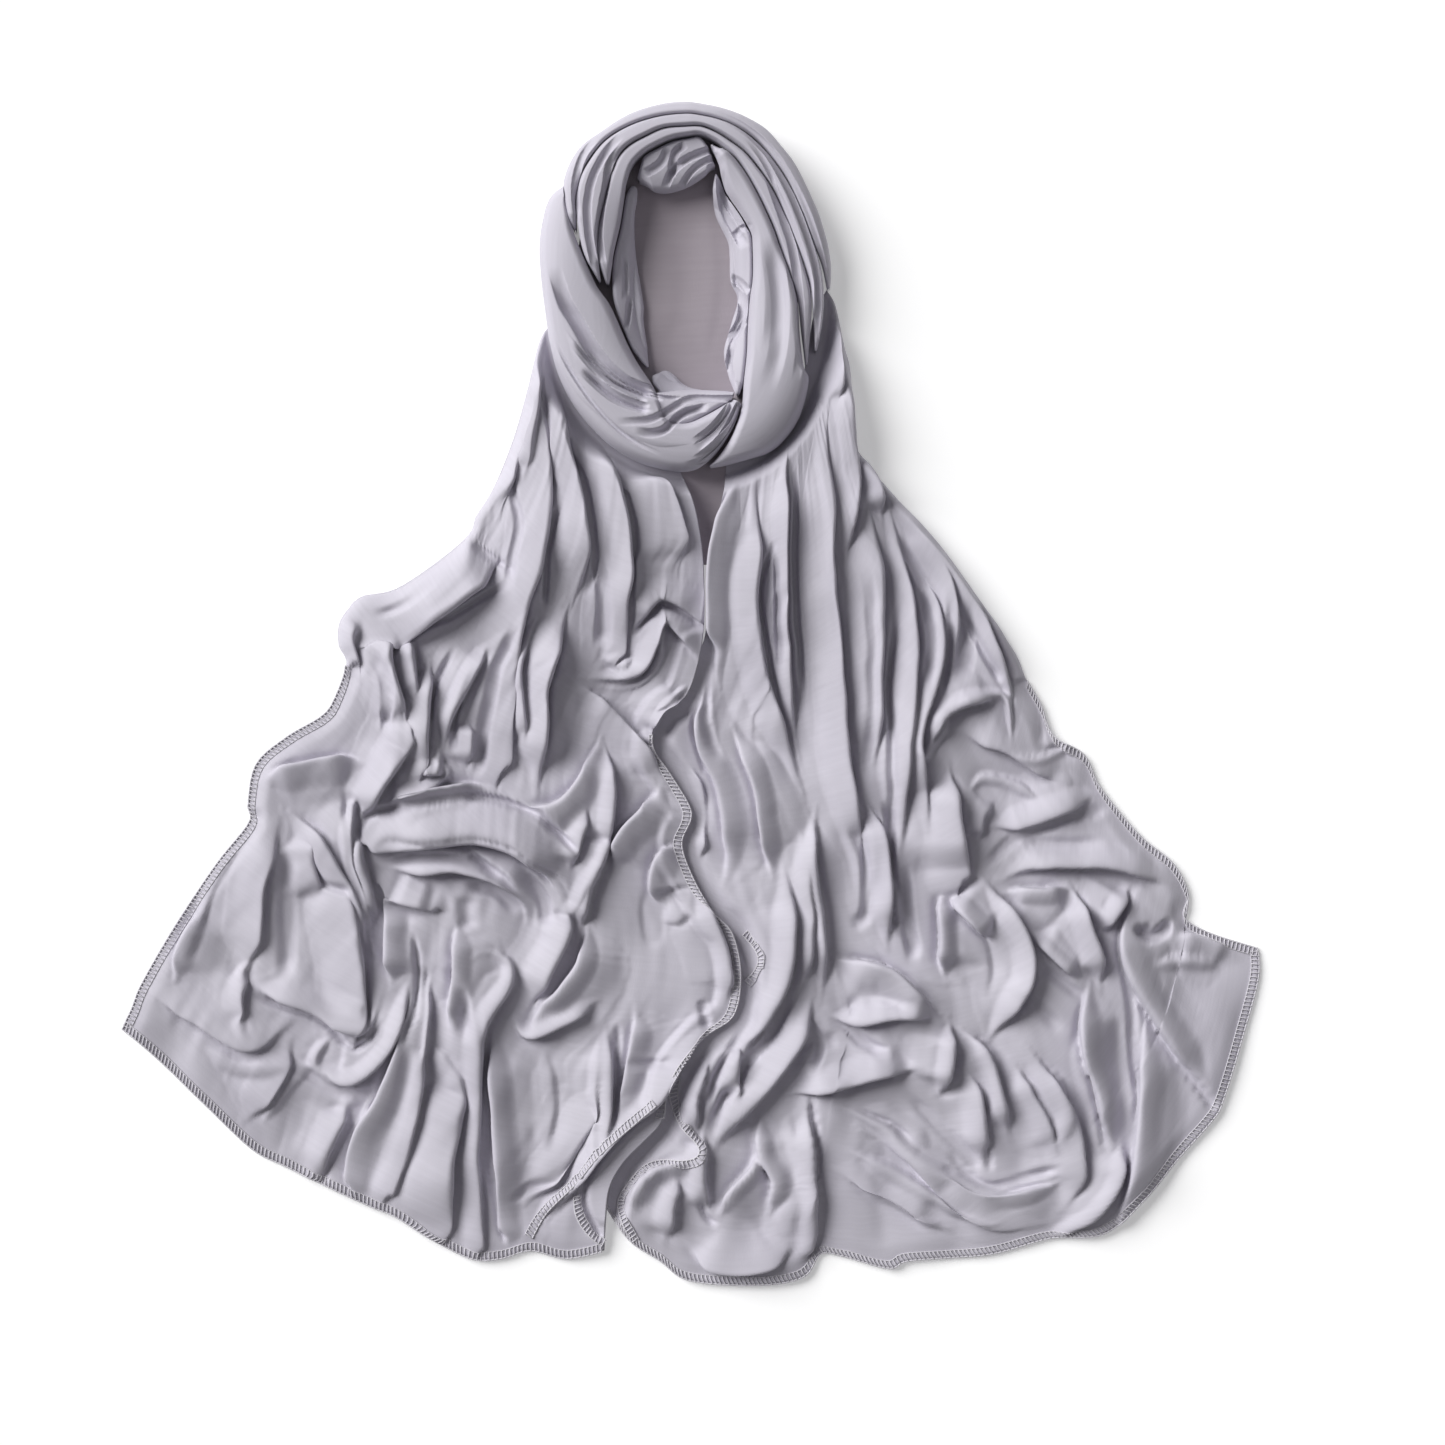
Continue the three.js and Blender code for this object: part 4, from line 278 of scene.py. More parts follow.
RIGHT_CREASES = """
84.6 82 86.6 87 86.6 91.5 84.6 92.6:5 5 -4
114 92.6 115.6 93.6 117.2 92.4:5 5 -5
96.5 61.6 98.4 65.2 100.2 68.4:2 4 -4
95.8 60 96.4 64 96.2 68:7 7 -5:.3 .3
94.4 70.8 97 69.8 100 69.6 100.8 71.6 101.2 74:3 2 8
91.2 74.8 92.4 76 93.8 74.4 95.2 71.4:3 3 8
101 74.6 103.6 75.4 106 75 107.4 73.8:2 4 7
97 79.4 98.6 78 101.4 78.6 104 80:4 6 7:.3 .3
78.4 58.4 77.4 62 78.4 66:3 5 -3:.3 .3
79.6 46 79.6 54 79.8 62 80.4 70:1.6 3 -4
86 56 86.4 63 86.8 71 87 78:2 4 -3:.3 .2
89.3 60 89.2 68 89.4 76 89 84:1.6 3 -4
91.6 58 92.6 63 92.4 69:2 3 -3.4:.3 .2
94.6 58.4 94.8 64 94.4 70:2 3 -3.4:.3 .2
90.6 86.2 91 92 91.4 97:5 6 -5:.3 .3
88.4 91 90.4 93 91.8 96:6 6 -3:.3 .3
100 99.4 103.6 100.6 106.4 103.4:7 8 -3:.3 .3
67.4 107.6 67.4 110.4 68.6 112.8 70.6 115:2 6 8
70 115.4 66 117 63.4 119.6 62.6 121.6 63.6 124:2 6 7:.2 .1
75 111 75 115 76.5 117 76.5 119:2 2 -3
81.5 109 81.5 115 81.8 120 81.6 125:2 2.4 -3.4:.2 0
70 118.6 70.4 121.6 71.8 122.6:2 3 -3
78.8 111 79.2 118 79 124:7 7 4.6:.3 .2
77.5 54 75.8 59 76.8 65 78.3 72:2 2 -4
77.4 55.4 77.5 61 77.9 68:2 2 -3
89.5 53.5 91.4 56.6 93 60:4 4 -3:.3 .3
113.5 92.2 115 93.8 117.5 92:3 3 -4
85.5 79 87.4 83 88 87 87.2 93:5 5 -3:.3 .3
79.6 104.2 84.4 104:8 8 -3:.3 .3
95 115 97.4 117.8 99.5 118.8 104 117.5 106.5 116.5:2 4 -3
98.5 109 98.6 113 99.3 118:2 3 -2.6
111.5 100 112 108 113 116:6 10 -3:.3 .2
111.5 80.8 106 82.4 102 83.8 98.5 87:3 6 -4
70.7 60 70.7 70 71.2 74 72.5 76.5:2 2 -3
70 65.5 69.7 69 69.3 73 69.7 75.2 70.5 78:2 2 -3
83.5 110.5 88 113 94 117 99 119.5 104 120:4 7 12:.3 .2
84 115 90 118 96 121 101 122.2:4 6 11:.3 .2
85 118.4 90 121 95 123:4 6 9:.3 .2
90.5 109 93.5 112 96.5 115 98.6 118:4 6 -3.4:.3 .2
86 111 90 112.6 93.4 115.6:4 5 5.5:.3 .3
108 102 108.5 108 110 114 111 116:4 5 6.9
113 98 117 104.5 122 111.5:2 4 -3.6:.2 .1
112.8 95 113.2 101 113.6 110:2.4 4 -3.4
104.5 106 106.4 111 106 115:4 5 6:.3 .2
115 96.6 119 96.2 122.6 97:4 6 6:.3 .3
101 83.4 106 84.4 111 84.6:8 10 -3:.3 .3
88.6 80 89.2 86 90.2 90.4:3 4 -4
96.6 90.4 98 95 98.6 100:7 8 6:.3 .3
103.4 96 107 98.6 109.4 100:5 7 -3:.3 .3
79.6 99.4 77.6 103.6 74.6 107.2 72 110.6 70.8 114:2.4 5 -5
76.2 101 73.8 104.6 71.7 107.6 70.6 110.8:2 4 -5
84.8 101.4 86.6 104 89.4 105.6:4 6 -4:.3 .3
80.6 101.4 82.4 104.4 81.2 107.6:3 5 -5:.3 .3
"""
RING_CREASES = """
55.5 27 56.6 30.5 57.8 32.5 59.8 35.8 62.5 38.5 66 39.8:5 5 -7:.3 .1
57.5 34.5 60.5 37.8 65 40.2:4 4 -5:.3 .1
58.3 37.2 61.5 40 65 41.3:4 4 -5:.3 .1
69.5 45.2 72.5 42.5 73.5 40:3 3 -5:.3 .2
77 24 77.6 30 77.2 36:8 8 -3:.3 .3
55.5 27 56.6 30.5 57.8 32.5 59.8 35.8 62.5 38.5 66 39.8:4 6 -3:.3 .1
56.4 33 58.8 36.4 61.8 39.2 65 40.8:2.4 3 3.4:.3 .1
56 36.4 58.4 39.6 62 42.6 66 44.4 69.6 44.6:5 7 3:.3 .2
55.4 33.6 57.4 37.6 60 41.2 63 44 66.6 45.8:1 2 -2.6:.3 .3
72.1 17.4 72.4 20.4 73.6 23 74.6 25:3 4 -6
73.2 28 74.3 30 74.1 32.2 72.7 34.4:3 4 -7
73.2 34.6 72.9 37 73.3 39.6:2.4 3 -5
60 14.1 58.6 15.8 57.9 17.8 57.7 19.8 58 22.4:2.2 3 -3:.3 .2
62.4 14 60.8 15.8 59.6 18 59 20.5 59 23 59.4 25.6 60 28:2.2 3.4 -4
62.5 15.2 61.2 16.8 60.8 19 60.3 21.6 60.1 24.4 60.6 27.4:2 3 -3.5
70.4 11.5 74 12.9 77.2 15.6 79.8 19.8 81.6 24.2 82.7 28.2:2 3 -3:.3 .1
72.4 12.6 75 14 77.2 16.5 79 19.8 80.6 23.8 81.6 27.4 81.8 31 81.4 35:2 3 -3.5:.2 .1
74.5 14 76.4 16.6 78.2 20.2 79.6 23.8 80.8 27.6 81.4 31:1.8 2.6 -2.5
76.5 16.5 77.2 19 78.4 22.5 79.3 25.5 80 31 80 35.4 79.6 38.6:2.4 3.4 -4
77 24 77.9 28 78.2 32 77.8 36 76.6 40:5 8 -2.4:.3 .3
57.5 34.5 60.5 37.8 63.6 39.4 66.4 40.2:1 1.8 -4.5:.25 .1
58.3 37.2 61.5 40 64 41.1 65.4 41.4:1 1.8 -4.5:.25 .2
60.2 36.2 63 38.6 66 39.8 68.6 40:1 1.8 -4:.3 .2
61.6 42.6 65 42.4 67.2 41.2 69 40.2 71.6 40.2 73.4 40.2:3.2 2 -4:.3 0
63.6 43.2 65 43.5 66.4 43.2 67.6 42 69 41.2 71 40.8:2 4 -6:.3 .2
69.4 44.6 71.2 43.2 72.4 41.8 73.2 40.6:3.2 2 -4:.3 0
69.4 46.4 71.4 44.9 72.8 43 73.8 41:3 2 -4.5:.3 0
68.4 46.8 70.8 46 72.8 44 74 41.6:2.4 1.8 -3.5:.3 0
63 29.2 62.9 31 62.6 33.4:2 2 -4:.3 .3
62.4 25.4 62.6 28 62.5 30.4:2 2 -3:.3 .3
72 17.8 72.6 20 73.6 21.6 74.8 23.4:2 3 -4:.3 .2
73.2 23.6 74.4 22.8 75.2 23.2:2 3 -3:.3 .2
73 27.4 74.2 28.4 75 29.4:2 3 -4:.3 .2
74.8 31.8 73.4 34.2 73 36.4 73.6 39.4:2 2.6 -4
66.4 19.2 67.2 17.4 69 16 71.8 15:2.4 3.4 -5:.2 0
67 18 67.4 15.6 68.6 14.6:2 4 -5
68 19 69.4 17.2 71.4 16:2.4 2.4 -4:.2 0
64.4 17.6 66 16.6 66.8 15:2.6 4 -4
"""
BACK_CREASES = """
66 22 66.6 28 66 35:14 14 2:.3 .3
70.4 20 71.2 27 70.4 36:9 9 1.6:.3 .3
"""

# A stretch of the ring: its share of the full arch, its rounding, the lengths of its tapers at both ends, how
# far it widens under its neighbours, its outer line and its inner line.
STRETCHES = {
    "ring_outer_crown": (1, 3, 10, 30, RING_WIDEN, """
57.4 23.4 56.7 20.4 56.7 18 58 15.2 60.3 13.5 63 11.8 66 10.8 68.4 10.5 70.5 10.8 72.5 11.3 74.5 12.1
76.5 13.3 78 15 79.5 17 81.2 20.5 82 22.5 83 26.2 83.2 29
""", """
57.8 23.2 57.5 20.6 57.9 18.4 58.7 16.5 60.5 14.3 63 12.8 65.8 11.9 68.6 11.6 70.4 11.8 72.3 12.3 74.1 13.1
75.8 14.3 77.3 16 78.8 18.2 80.1 21 80.9 23 82.1 26.4 82.5 29
"""),
    "ring_middle_crown": (0.97, 3, 14, 40, RING_WIDEN, """
59.9 28.4 58.6 25.6 58.1 23.2 57.8 20.7 58.2 18.6 59 16.8 60.7 14.6 63.1 13.1 65.9 12.2 68.6 11.9 70.3 12.1
72.2 12.6 73.9 13.4 75.5 14.6 77 16.2 78.5 18.4 79.8 21.1 80.6 23.1 81.8 26.6 82.2 29.4 82.2 32.5 81.8 35.2
""", """
60.2 28.4 59.7 25.6 59.8 22.8 60.4 20.2 61 18 61.8 16 62.9 14.8 64.5 13.9 66.4 13.1 68.6 12.9 70.2 12.9
71.8 13.5 73.3 14.4 74.7 15.5 76.1 17.2 77.5 19.3 78.7 21.9 79.5 23.9 80.6 27 81.2 29.4 81.3 32.5 81.3 35.2
"""),
    "ring_inner_crown": (0.9, 3, 14, 40, RING_WIDEN, """
60.5 28.6 60 25.6 60.1 22.9 60.7 20.3 61.3 18.1 62.1 16.2 63.1 15.1 64.7 14.2 66.5 13.4 68.6 13.2 70.1 13.2
71.6 13.8 73 14.7 74.4 15.8 75.8 17.5 77.2 19.5 78.4 22 79.2 24 80.3 27.1 80.9 29.4 81 33 80.8 36.6
""", """
61.1 28.6 61.2 26 61.9 22.8 62.3 20.4 62.6 18.5 63.2 16.8 64.3 15.6 65.6 14.8 67.2 14.1 68.8 13.8 70 13.7
71.3 14.2 72.5 15 73.8 16.2 75 18 76.2 20.2 77.4 22.8 78.1 24.8 79.2 27.8 79.9 30.4 80.1 33.4 80.4 36.6
"""),
    "ring_right_roll": (1, 6, 12, 34, RING_WIDEN, """
71.2 14.6 72.3 15.3 73.5 16.5 74.7 18.2 75.9 20.4 77.1 23 77.8 24.9 78.9 27.9 79.6 30.5 79.8 33.5 80.2 36.8
80.7 38 80.2 40.6 79.2 42.8 77.4 44.8 75 46 72.6 46.8 71.2 46.9
""", """
71 15 71.9 16.4 72.3 18 72.9 19.6 74.1 21.4 75.2 23.4 75.4 25.4 75.4 28 75.1 30.2 74.9 33 74.8 35.6 74.5 38.4
74.3 40.8 73.8 42.6 73 44 72.2 45 71.4 45.9 70.8 46.5
"""),
    "ring_left_wrap": (1, 6, 0, 0, RING_WIDEN, """
56.4 19 55 20.1 54.3 22.6 54.1 25 54.3 28 54.7 31.2 55.2 34.5 56 37.5 57.5 40.5 59.5 43 61.5 44.8 64 46.2
67 47 69.2 47 70.8 46.1 72.2 44.5 73.4 42.4 74 40.6
""", """
56.6 20.6 57 22 57.4 23.7 58.4 26.2 59.6 28.9 60.8 30.6 61.6 32.2 62.6 34.5 63.6 36.4 64.4 37.6 65.2 38.8
65.9 40.3 66.4 41.9 67.6 42.6 69 42.6 70.6 41.9 72.2 41 73.4 40.2
"""),
    "ring_throat_fold": (0.86, 4, 0, 0, 2.4, """
64.4 42 66 42.2 67.8 42.4 69 42.2 70.4 41.5 71.8 40.7 73.2 40
""", """
63.8 39.8 66.2 39.7 68.2 39.4 70 39.4 71.4 39.5 72.4 39.6 73.3 39.7
"""),
    "ruffle_left": (0.62, 3, 10, 14, RING_WIDEN, """
63 18.4 62.6 20.6 62.2 23 61.5 26.1 61.4 28.8 61.6 30.4 62.2 32.2 63.1 34.4 64 36 64.6 36.8
""", """
64 19 63.4 21 63.3 23.5 63.5 26 63.9 28.5 64.2 30.5 64.2 32 64.5 34.2 64.8 35.8 65 36.6
"""),
    "ruffle_crown": (0.7, 4, 8, 6, RING_WIDEN, """
63.5 17.6 64.5 16 65.8 15.2 67.3 14.5 68.8 14.2 70 14.1 71 15.4 71.5 16.6
""", """
64.2 18.6 65.4 19.1 66.5 19.2 68 18.9 69.2 18.4 70.2 17.8 71 17.2 71.5 16.9
"""),
    "ruffle_right": (0.66, 3, 10, 10, RING_WIDEN, """
71.7 17.4 72 18.2 72.6 19.8 73.8 21.6 74.9 23.6 75.1 25.4 75.1 28 74.8 30.2 74.6 33 74.5 35.6 74.2 38.4
74 39.8
""", """
71.4 17.6 71.4 19 71.7 21.4 72.9 24 73.1 25.6 73.2 28 73.9 29.8 73.3 32.2 72.6 34.6 72.6 36 73.1 38 73.4 39.4
"""),
    "ruffle_throat": (0.5, 3, 4, 14, RING_WIDEN, """
65 37.8 65.8 38.8 66.3 39.4 67.6 39.3 69 39.1 70.2 39.1
""", """
65.6 37.2 66.6 37.1 67.4 37.6 68.2 38.4 69.2 38.8 70.2 38.9
"""),
}


def ease(t):
    s = np.clip(t, 0.0, 1.0)
    return s * s * (3.0 - 2.0 * s)


def round_over(t):
    """A quarter circle, upright at 0 and level at 1."""
    return np.sqrt(1.0 - (1.0 - t) ** 2)


def left_of(way):
    return np.column_stack([-way[:, 1], way[:, 0]])


def numbers(text):
    return [float(word) for word in text.split()]


def place(path):
    grid = np.array(numbers(path) if isinstance(path, str) else path).reshape(-1, 2)
    return np.column_stack([(grid[:, 0] - DATUM[0]) * SQUARE, (DATUM[1] - grid[:, 1]) * SQUARE])


def line_through(path, steps=6):
    """A smooth line through places given as x, y, x, y on the drafting grid."""
    points = place(path)
    last = len(points) - 1
    t = np.linspace(0.0, last, last * steps + 1)
    i = np.minimum(t.astype(int), last)
    w = (t - i)[:, None]
    p0, p1 = points[np.maximum(i - 1, 0)], points[i]
    p2, p3 = points[np.minimum(i + 1, last)], points[np.minimum(i + 2, last)]
    v0, v1 = (p2 - p0) / 2, (p3 - p1) / 2
    cubic = (2 * p1 - 2 * p2 + v0 + v1) * w**3 + (-3 * p1 + 3 * p2 - 2 * v0 - v1) * w**2
    return cubic + v0 * w + p1


def run_along(points):
    """How far each point of a line, or of a net's columns, lies from its start."""
    steps = np.linalg.norm(np.diff(points, axis=0), axis=-1)
    return np.concatenate([np.zeros_like(steps[:1]), np.cumsum(steps, axis=0)])


def evenly(path, steps):
    """Points at equal steps along a smooth line."""
    line = line_through(path, 12)
    lengths = run_along(line)
    want = np.linspace(0.0, lengths[-1], steps + 1)
    return np.column_stack([np.interp(want, lengths, line[:, 0]), np.interp(want, lengths, line[:, 1])])


def beside(line, x, y):
    """How far points lie off a line, on which hand, how far along as a share, and the line's way there."""
    off = np.full(x.shape, np.inf)
    hand, along = np.ones(x.shape), np.zeros(x.shape)
    way = np.zeros(x.shape + (2,))
    done = 0.0
    for a, b in zip(line[:-1], line[1:]):
        dx, dy = b - a
        long = math.hypot(dx, dy)
        if long == 0.0:
            continue
        t = np.clip(((x - a[0]) * dx + (y - a[1]) * dy) / (long * long), 0.0, 1.0)
        d = np.hypot(x - a[0] - t * dx, y - a[1] - t * dy)
        near = d < off
        off = np.where(near, d, off)
        hand = np.where(near, np.where(dx * (y - a[1]) - dy * (x - a[0]) >= 0, 1.0, -1.0), hand)
        along = np.where(near, done + t * long, along)
        way[near] = (dx / long, dy / long)
        done += long
    return off, hand, along / done, way


# Folds. Each has a narrow crest, and a roll also has a broad panel on its gentle side. A raised fold with
# nearly even sides gets a steep one, away from the light.
USUAL_FADE = 0.2
LEAST_FADE = 0.26
LIGHT = (-0.85, 0.53)
EVEN = 0.7
EVEN_STEEP = 0.8
EVEN_GENTLE = 2.0
ENDS = 0.18
BROAD = 30.0
BROADER = 1.2
BROAD_FADE = 0.34
BROAD_SHARE = 0.74
PANEL = 1.35
NARROW_SHARE = 0.42
GENTLE_FORM = 0.8
SLOPE = 0.5
SLOPE_FORM = 1.8
FIRM_FROM = 1.5
FIRM_REACH = 1.6
LEAN = 0.95
LEAN_FORM = 1.5
BLEND = 1.0


class Fold:
    """One row of a fold table."""

    def __init__(self, row):
        path, reaches, *rest = row.split(":")
        self.line = line_through(path)
        self.left, self.right, self.high = numbers(reaches)
        self.fades = numbers(rest[0]) if rest else [USUAL_FADE, USUAL_FADE]
        self.spread = float(rest[1]) if rest[1:] else 1.0
        if self.high > 0:
            steep, gentle = sorted((self.left, self.right))
            if steep > EVEN * gentle:
                way = self.line[-1] - self.line[0]
                away = way[0] * LIGHT[1] - way[1] * LIGHT[0] < 0
                sides = EVEN_STEEP * steep, EVEN_GENTLE * gentle
                self.left, self.right = sides if away else sides[::-1]
            self.fades = [max(fade, LEAST_FADE) if fade > 0 else 0 for fade in self.fades]

    def at(self, x, y, broad=False):
        """The points that the fold reaches, its height there, and how far its crest leans over them."""
        left, right = self.left, self.right
        if broad and left < right:
            right = max(BROAD, BROADER * right)
        elif broad:
            left = max(BROAD, BROADER * left)
        most = max(left, right) * max(1.0, self.spread)
        low, top = self.line.min(axis=0) - most, self.line.max(axis=0) + most
        index = np.flatnonzero((x >= low[0]) & (x <= top[0]) & (y >= low[1]) & (y <= top[1]))
        off, hand, along, way = beside(self.line, x[index], y[index])
        fade = np.ones(len(index))
        for share, gone in zip(self.fades, (along, 1.0 - along)):
            if share > 0:
                fade *= ease(gone / share)
        grow = 1.0 + (self.spread - 1.0) * along
        if self.high > 0:
            grow = grow * (ENDS + (1 - ENDS) * fade)
        side = np.where(hand > 0, left, right)
        t = 1.0 - off / (side * grow)
        found = (index, hand, along, way, fade, grow, side, t)
        index, hand, along, way, fade, grow, side, t = (values[t > 0] for values in found)
        if broad:
            fade = fade * ease(along / BROAD_FADE) * ease((1.0 - along) / BROAD_FADE)
            form = np.where(side < BROAD, round_over(t), t**PANEL)
            return index, self.high * BROAD_SHARE * fade * form, None
        firm = np.clip(FIRM_FROM - side * grow / (FIRM_REACH * abs(self.high)), 0.0, 1.0)
        soft = SLOPE * (1.0 - (1.0 - t) ** SLOPE_FORM) + (1.0 - SLOPE) * ease(t)
        form = firm * round_over(t) + (1.0 - firm) * soft
        share = 1.0
        if self.high > 0:
            form = np.where((hand > 0) == (left > right), ease(t) ** GENTLE_FORM, form)
            share = NARROW_SHARE
        lean = LEAN * min(left, right) * grow * fade * form**LEAN_FORM * (1.0 if left < right else -1.0)
        return index, self.high * share * fade * form, lean[:, None] * left_of(way)


def folds_of(table):
    return [Fold(row) for row in table.strip().splitlines()]


def blend_max(a, b):
    near = np.maximum(BLEND - np.abs(a - b), 0.0) / BLEND
    return np.maximum(a, b) + near * near * BLEND / 4


def relief(rolls, creases, x, y):
    """The highest roll shows at each point, and creases are added. Also how far each point leans over."""
    shape, x, y = x.shape, x.ravel(), y.ravel()
    high, wide, lean = np.zeros(x.shape), np.zeros(x.shape), np.zeros(x.shape + (2,))
    for roll in rolls:
        index, h, over = roll.at(x, y)
        was = high[index]
        share = np.clip(0.5 + (h - was) / (2 * BLEND), 0.0, 1.0)[:, None]
        high[index] = np.where(h > 0, blend_max(h, was), was)
        lean[index] = lean[index] * (1 - share) + over * share
        index, h, _ = roll.at(x, y, broad=True)
        wide[index] = blend_max(wide[index], h)
    high += wide
    for crease in creases:
        index, h, _ = crease.at(x, y)
        high[index] += h
    return high.reshape(shape), lean.reshape(shape + (2,))


# Layers of seeded noise, for the small unevenness between the folds. Each has its share, its lengths across
# and down, its shifts across and down, and its seed.
LATTICE = 64
WARP_LAYERS = ((1, 46, 46, 9, 4, 0), (0.35, 17, 17, 3, 7, 5))
WAVE_LAYERS = ((1, 52, 78, 3, 11, 21), (0.5, 23, 37, 1, 6, 22))
RIPPLE_LAYERS = ((0.8, 1 / 22, 1 / 7, 0, 0, 0), (0.4, 1 / 55, 1 / 16, 0, 0, 1))


def noise(u, v, seed):
    """Smooth noise on a lattice of seeded values."""
    values = np.random.default_rng(seed).random((LATTICE, LATTICE)) * 2 - 1
    i, j = np.floor(u).astype(int), np.floor(v).astype(int)
    a, b = ease(u - i), ease(v - j)

    def at(di, dj):
        return values[(i + di) % LATTICE, (j + dj) % LATTICE]

    return (at(0, 0) * (1 - a) + at(1, 0) * a) * (1 - b) + (at(0, 1) * (1 - a) + at(1, 1) * a) * b


def layered(layers, x, y, seed=0):
    total = np.zeros(x.shape)
    for share, wide, long, dx, dy, own_seed in layers:
        total += share * noise(x / wide + dx, y / long + dy, seed + own_seed)
    return total


# Nets of places between four outlines.
def coons(top, hem, west, east, across, down):
    n, s, w, e = evenly(top, across), evenly(hem, across), evenly(west, down), evenly(east, down)
    u = np.linspace(0, 1, across + 1)[None, :, None]
    v = np.linspace(0, 1, down + 1)[:, None, None]
    net = n[None] * (1 - v) + s[None] * v + w[:, None] * (1 - u) + e[:, None] * u
    corners = n[0] * (1 - u) * (1 - v) + n[-1] * u * (1 - v) + s[0] * (1 - u) * v + s[-1] * u * v
    return net - corners


COARSE = (32, 44)
RELAX_ROUNDS = 2


def relaxed_shift(net):
    """How far the inner places of a coarse net move when they are spread evenly between their neighbours."""
    out = net.copy()
    for _ in range(RELAX_ROUNDS):
        for j in range(1, out.shape[0] - 1):
            for i in range(1, out.shape[1] - 1):
                out[j, i] = (out[j, i - 1] + out[j, i + 1] + out[j - 1, i] + out[j + 1, i]) / 4
    return out - net


def enlarge(field, across, down):
    """A coarse net of values at the places of a fine one."""
    rows = np.linspace(0, field.shape[0] - 1, down + 1)
    cols = np.linspace(0, field.shape[1] - 1, across + 1)
    j = np.minimum(rows.astype(int), field.shape[0] - 2)
    i = np.minimum(cols.astype(int), field.shape[1] - 2)
    b, a = ease(rows - j)[:, None, None], ease(cols - i)[None, :, None]
    low = field[j][:, i] * (1 - a) + field[j][:, i + 1] * a
    high = field[j + 1][:, i] * (1 - a) + field[j + 1][:, i + 1] * a
    return low * (1 - b) + high * b


def fine_net(outlines, across, down):
    shift = relaxed_shift(coons(*outlines, *COARSE))
    return coons(*outlines, across, down) + enlarge(shift, across, down)


# Meshes. A rim turned down and in shows the cloth's thickness at its edge.
RIM_DROP = 1.1
RIM_TUCK = 0.9
RIM_LOW = 0.1
TINY = 1e-6


def add_object(name, data):
    obj = bpy.data.objects.new(name, data)
    bpy.context.scene.collection.objects.link(obj)
    return obj


def add_mesh(name, vertices, faces, material, uv=None):
    """A smooth mesh of places in mm, with cloth coordinates at its corners if they are given."""
    mesh = bpy.data.meshes.new(name)
    mesh.from_pydata((np.asarray(vertices) * MM).tolist(), [], faces.tolist())
    if uv is not None:
        corners = uv[faces.reshape(-1)].astype(np.float32)
        mesh.uv_layers.new(name="UVMap").data.foreach_set("uv", corners.reshape(-1))
    mesh.polygons.foreach_set("use_smooth", [True] * len(faces))
    mesh.materials.append(material)
    mesh.update()
    return add_object(name, mesh)


def grid_mesh(name, points, uv, material):
    ids = np.arange(points.shape[0] * points.shape[1]).reshape(points.shape[:2])
    quads = np.stack([ids[:-1, :-1], ids[1:, :-1], ids[1:, 1:], ids[:-1, 1:]], axis=-1).reshape(-1, 4)
    return add_mesh(name, points.reshape(-1, 3), quads, material, uv.reshape(-1, 2))


def border_of(grid):
    """A mask of a grid's outermost rows and columns."""
    mask = np.ones(grid.shape[:2], bool)
    mask[1:-1, 1:-1] = False
    return mask


def rimmed(name, points, uv, material):
    """The net as a mesh, with its border turned down and in."""
    around = ((1, 1), (1, 1), (0, 0))
    out = np.pad(points, around, mode="edge")
    inward = np.zeros_like(out)
    for edge, inner in ((0, 2), (-1, -3)):
        inward[edge, 1:-1, :2] = (points[inner] - points[edge])[:, :2]
        inward[1:-1, edge, :2] = (points[:, inner] - points[:, edge])[:, :2]
    long = np.maximum(np.linalg.norm(inward, axis=2, keepdims=True), TINY)
    border = border_of(out)
    out[border] += (inward / long * RIM_TUCK)[border]
    out[border, 2] = np.maximum(out[border, 2] - RIM_DROP, RIM_LOW)
    return grid_mesh(name, out, np.pad(uv, around, mode="edge"), material)


# Tails. They come out from under the ring, and the left one's front edge laps over the right one.
TAILS = {
    "left": ((LEFT_TOP, LEFT_HEM, LEFT_OUTER, LEFT_INNER), LEFT_OUTER, LEFT_ROLLS, LEFT_CREASES),
    "right": ((RIGHT_TOP, RIGHT_HEM, RIGHT_INNER, RIGHT_OUTER), RIGHT_OUTER, RIGHT_ROLLS, RIGHT_CREASES),
}
TAIL_ACROSS = 236
TAIL_DOWN = 380
TAIL_UV = (0.55, 0.75)
CLOTH = 1.5
RING_HIGH = 34.0
RING_FLAT = 2.5
RING_HALF = 36.0
ARCH_END = 0.97
UNDER_RING = 28.0
RING_CLEAR = 16.0
TURN = 7.0
HEM_LOW = 0.35
END_LOW = 0.6
FOLDED = {"left": 66.5, "right": 68.0}
WARP = 2.2
WARP_SEEDS = (1, 2)
LAP_LIFT = 3.1
LAP_WIDE = 18.0
LAP_TUCK = 6.0
LAP_CLEAR = 7.0
LAP_RISE = 10.0
LOFT = 4.6
LOFT_WAVE = 4.2
NECK = 15.0
NECK_REACH = 130.0
VALLEY = 2.3
CREST = 3.2
FORM_ROUNDS = 24
RIPPLE_SEEDS = {"left": 3, "right": 8}
RIPPLE_SIDES = 12
RIPPLE_HEM = 20
ring_line = line_through(RING_LINE)

# The left tail's front edge follows its inner outline, apart from both ends.
front_edge = line_through([70.1, 65, *numbers(LEFT_INNER)[12:52], 60.8, 120.4])


def off_ring(x, y):
    return beside(ring_line, x, y)[0]


def arch(x, y):
    share = np.minimum(off_ring(x, y) / RING_HALF, ARCH_END)
    return RING_HIGH * (1 - share**RING_FLAT) ** (1 / RING_FLAT)


def freedom(x, y):
    return ease((off_ring(x, y) - UNDER_RING) / RING_CLEAR)


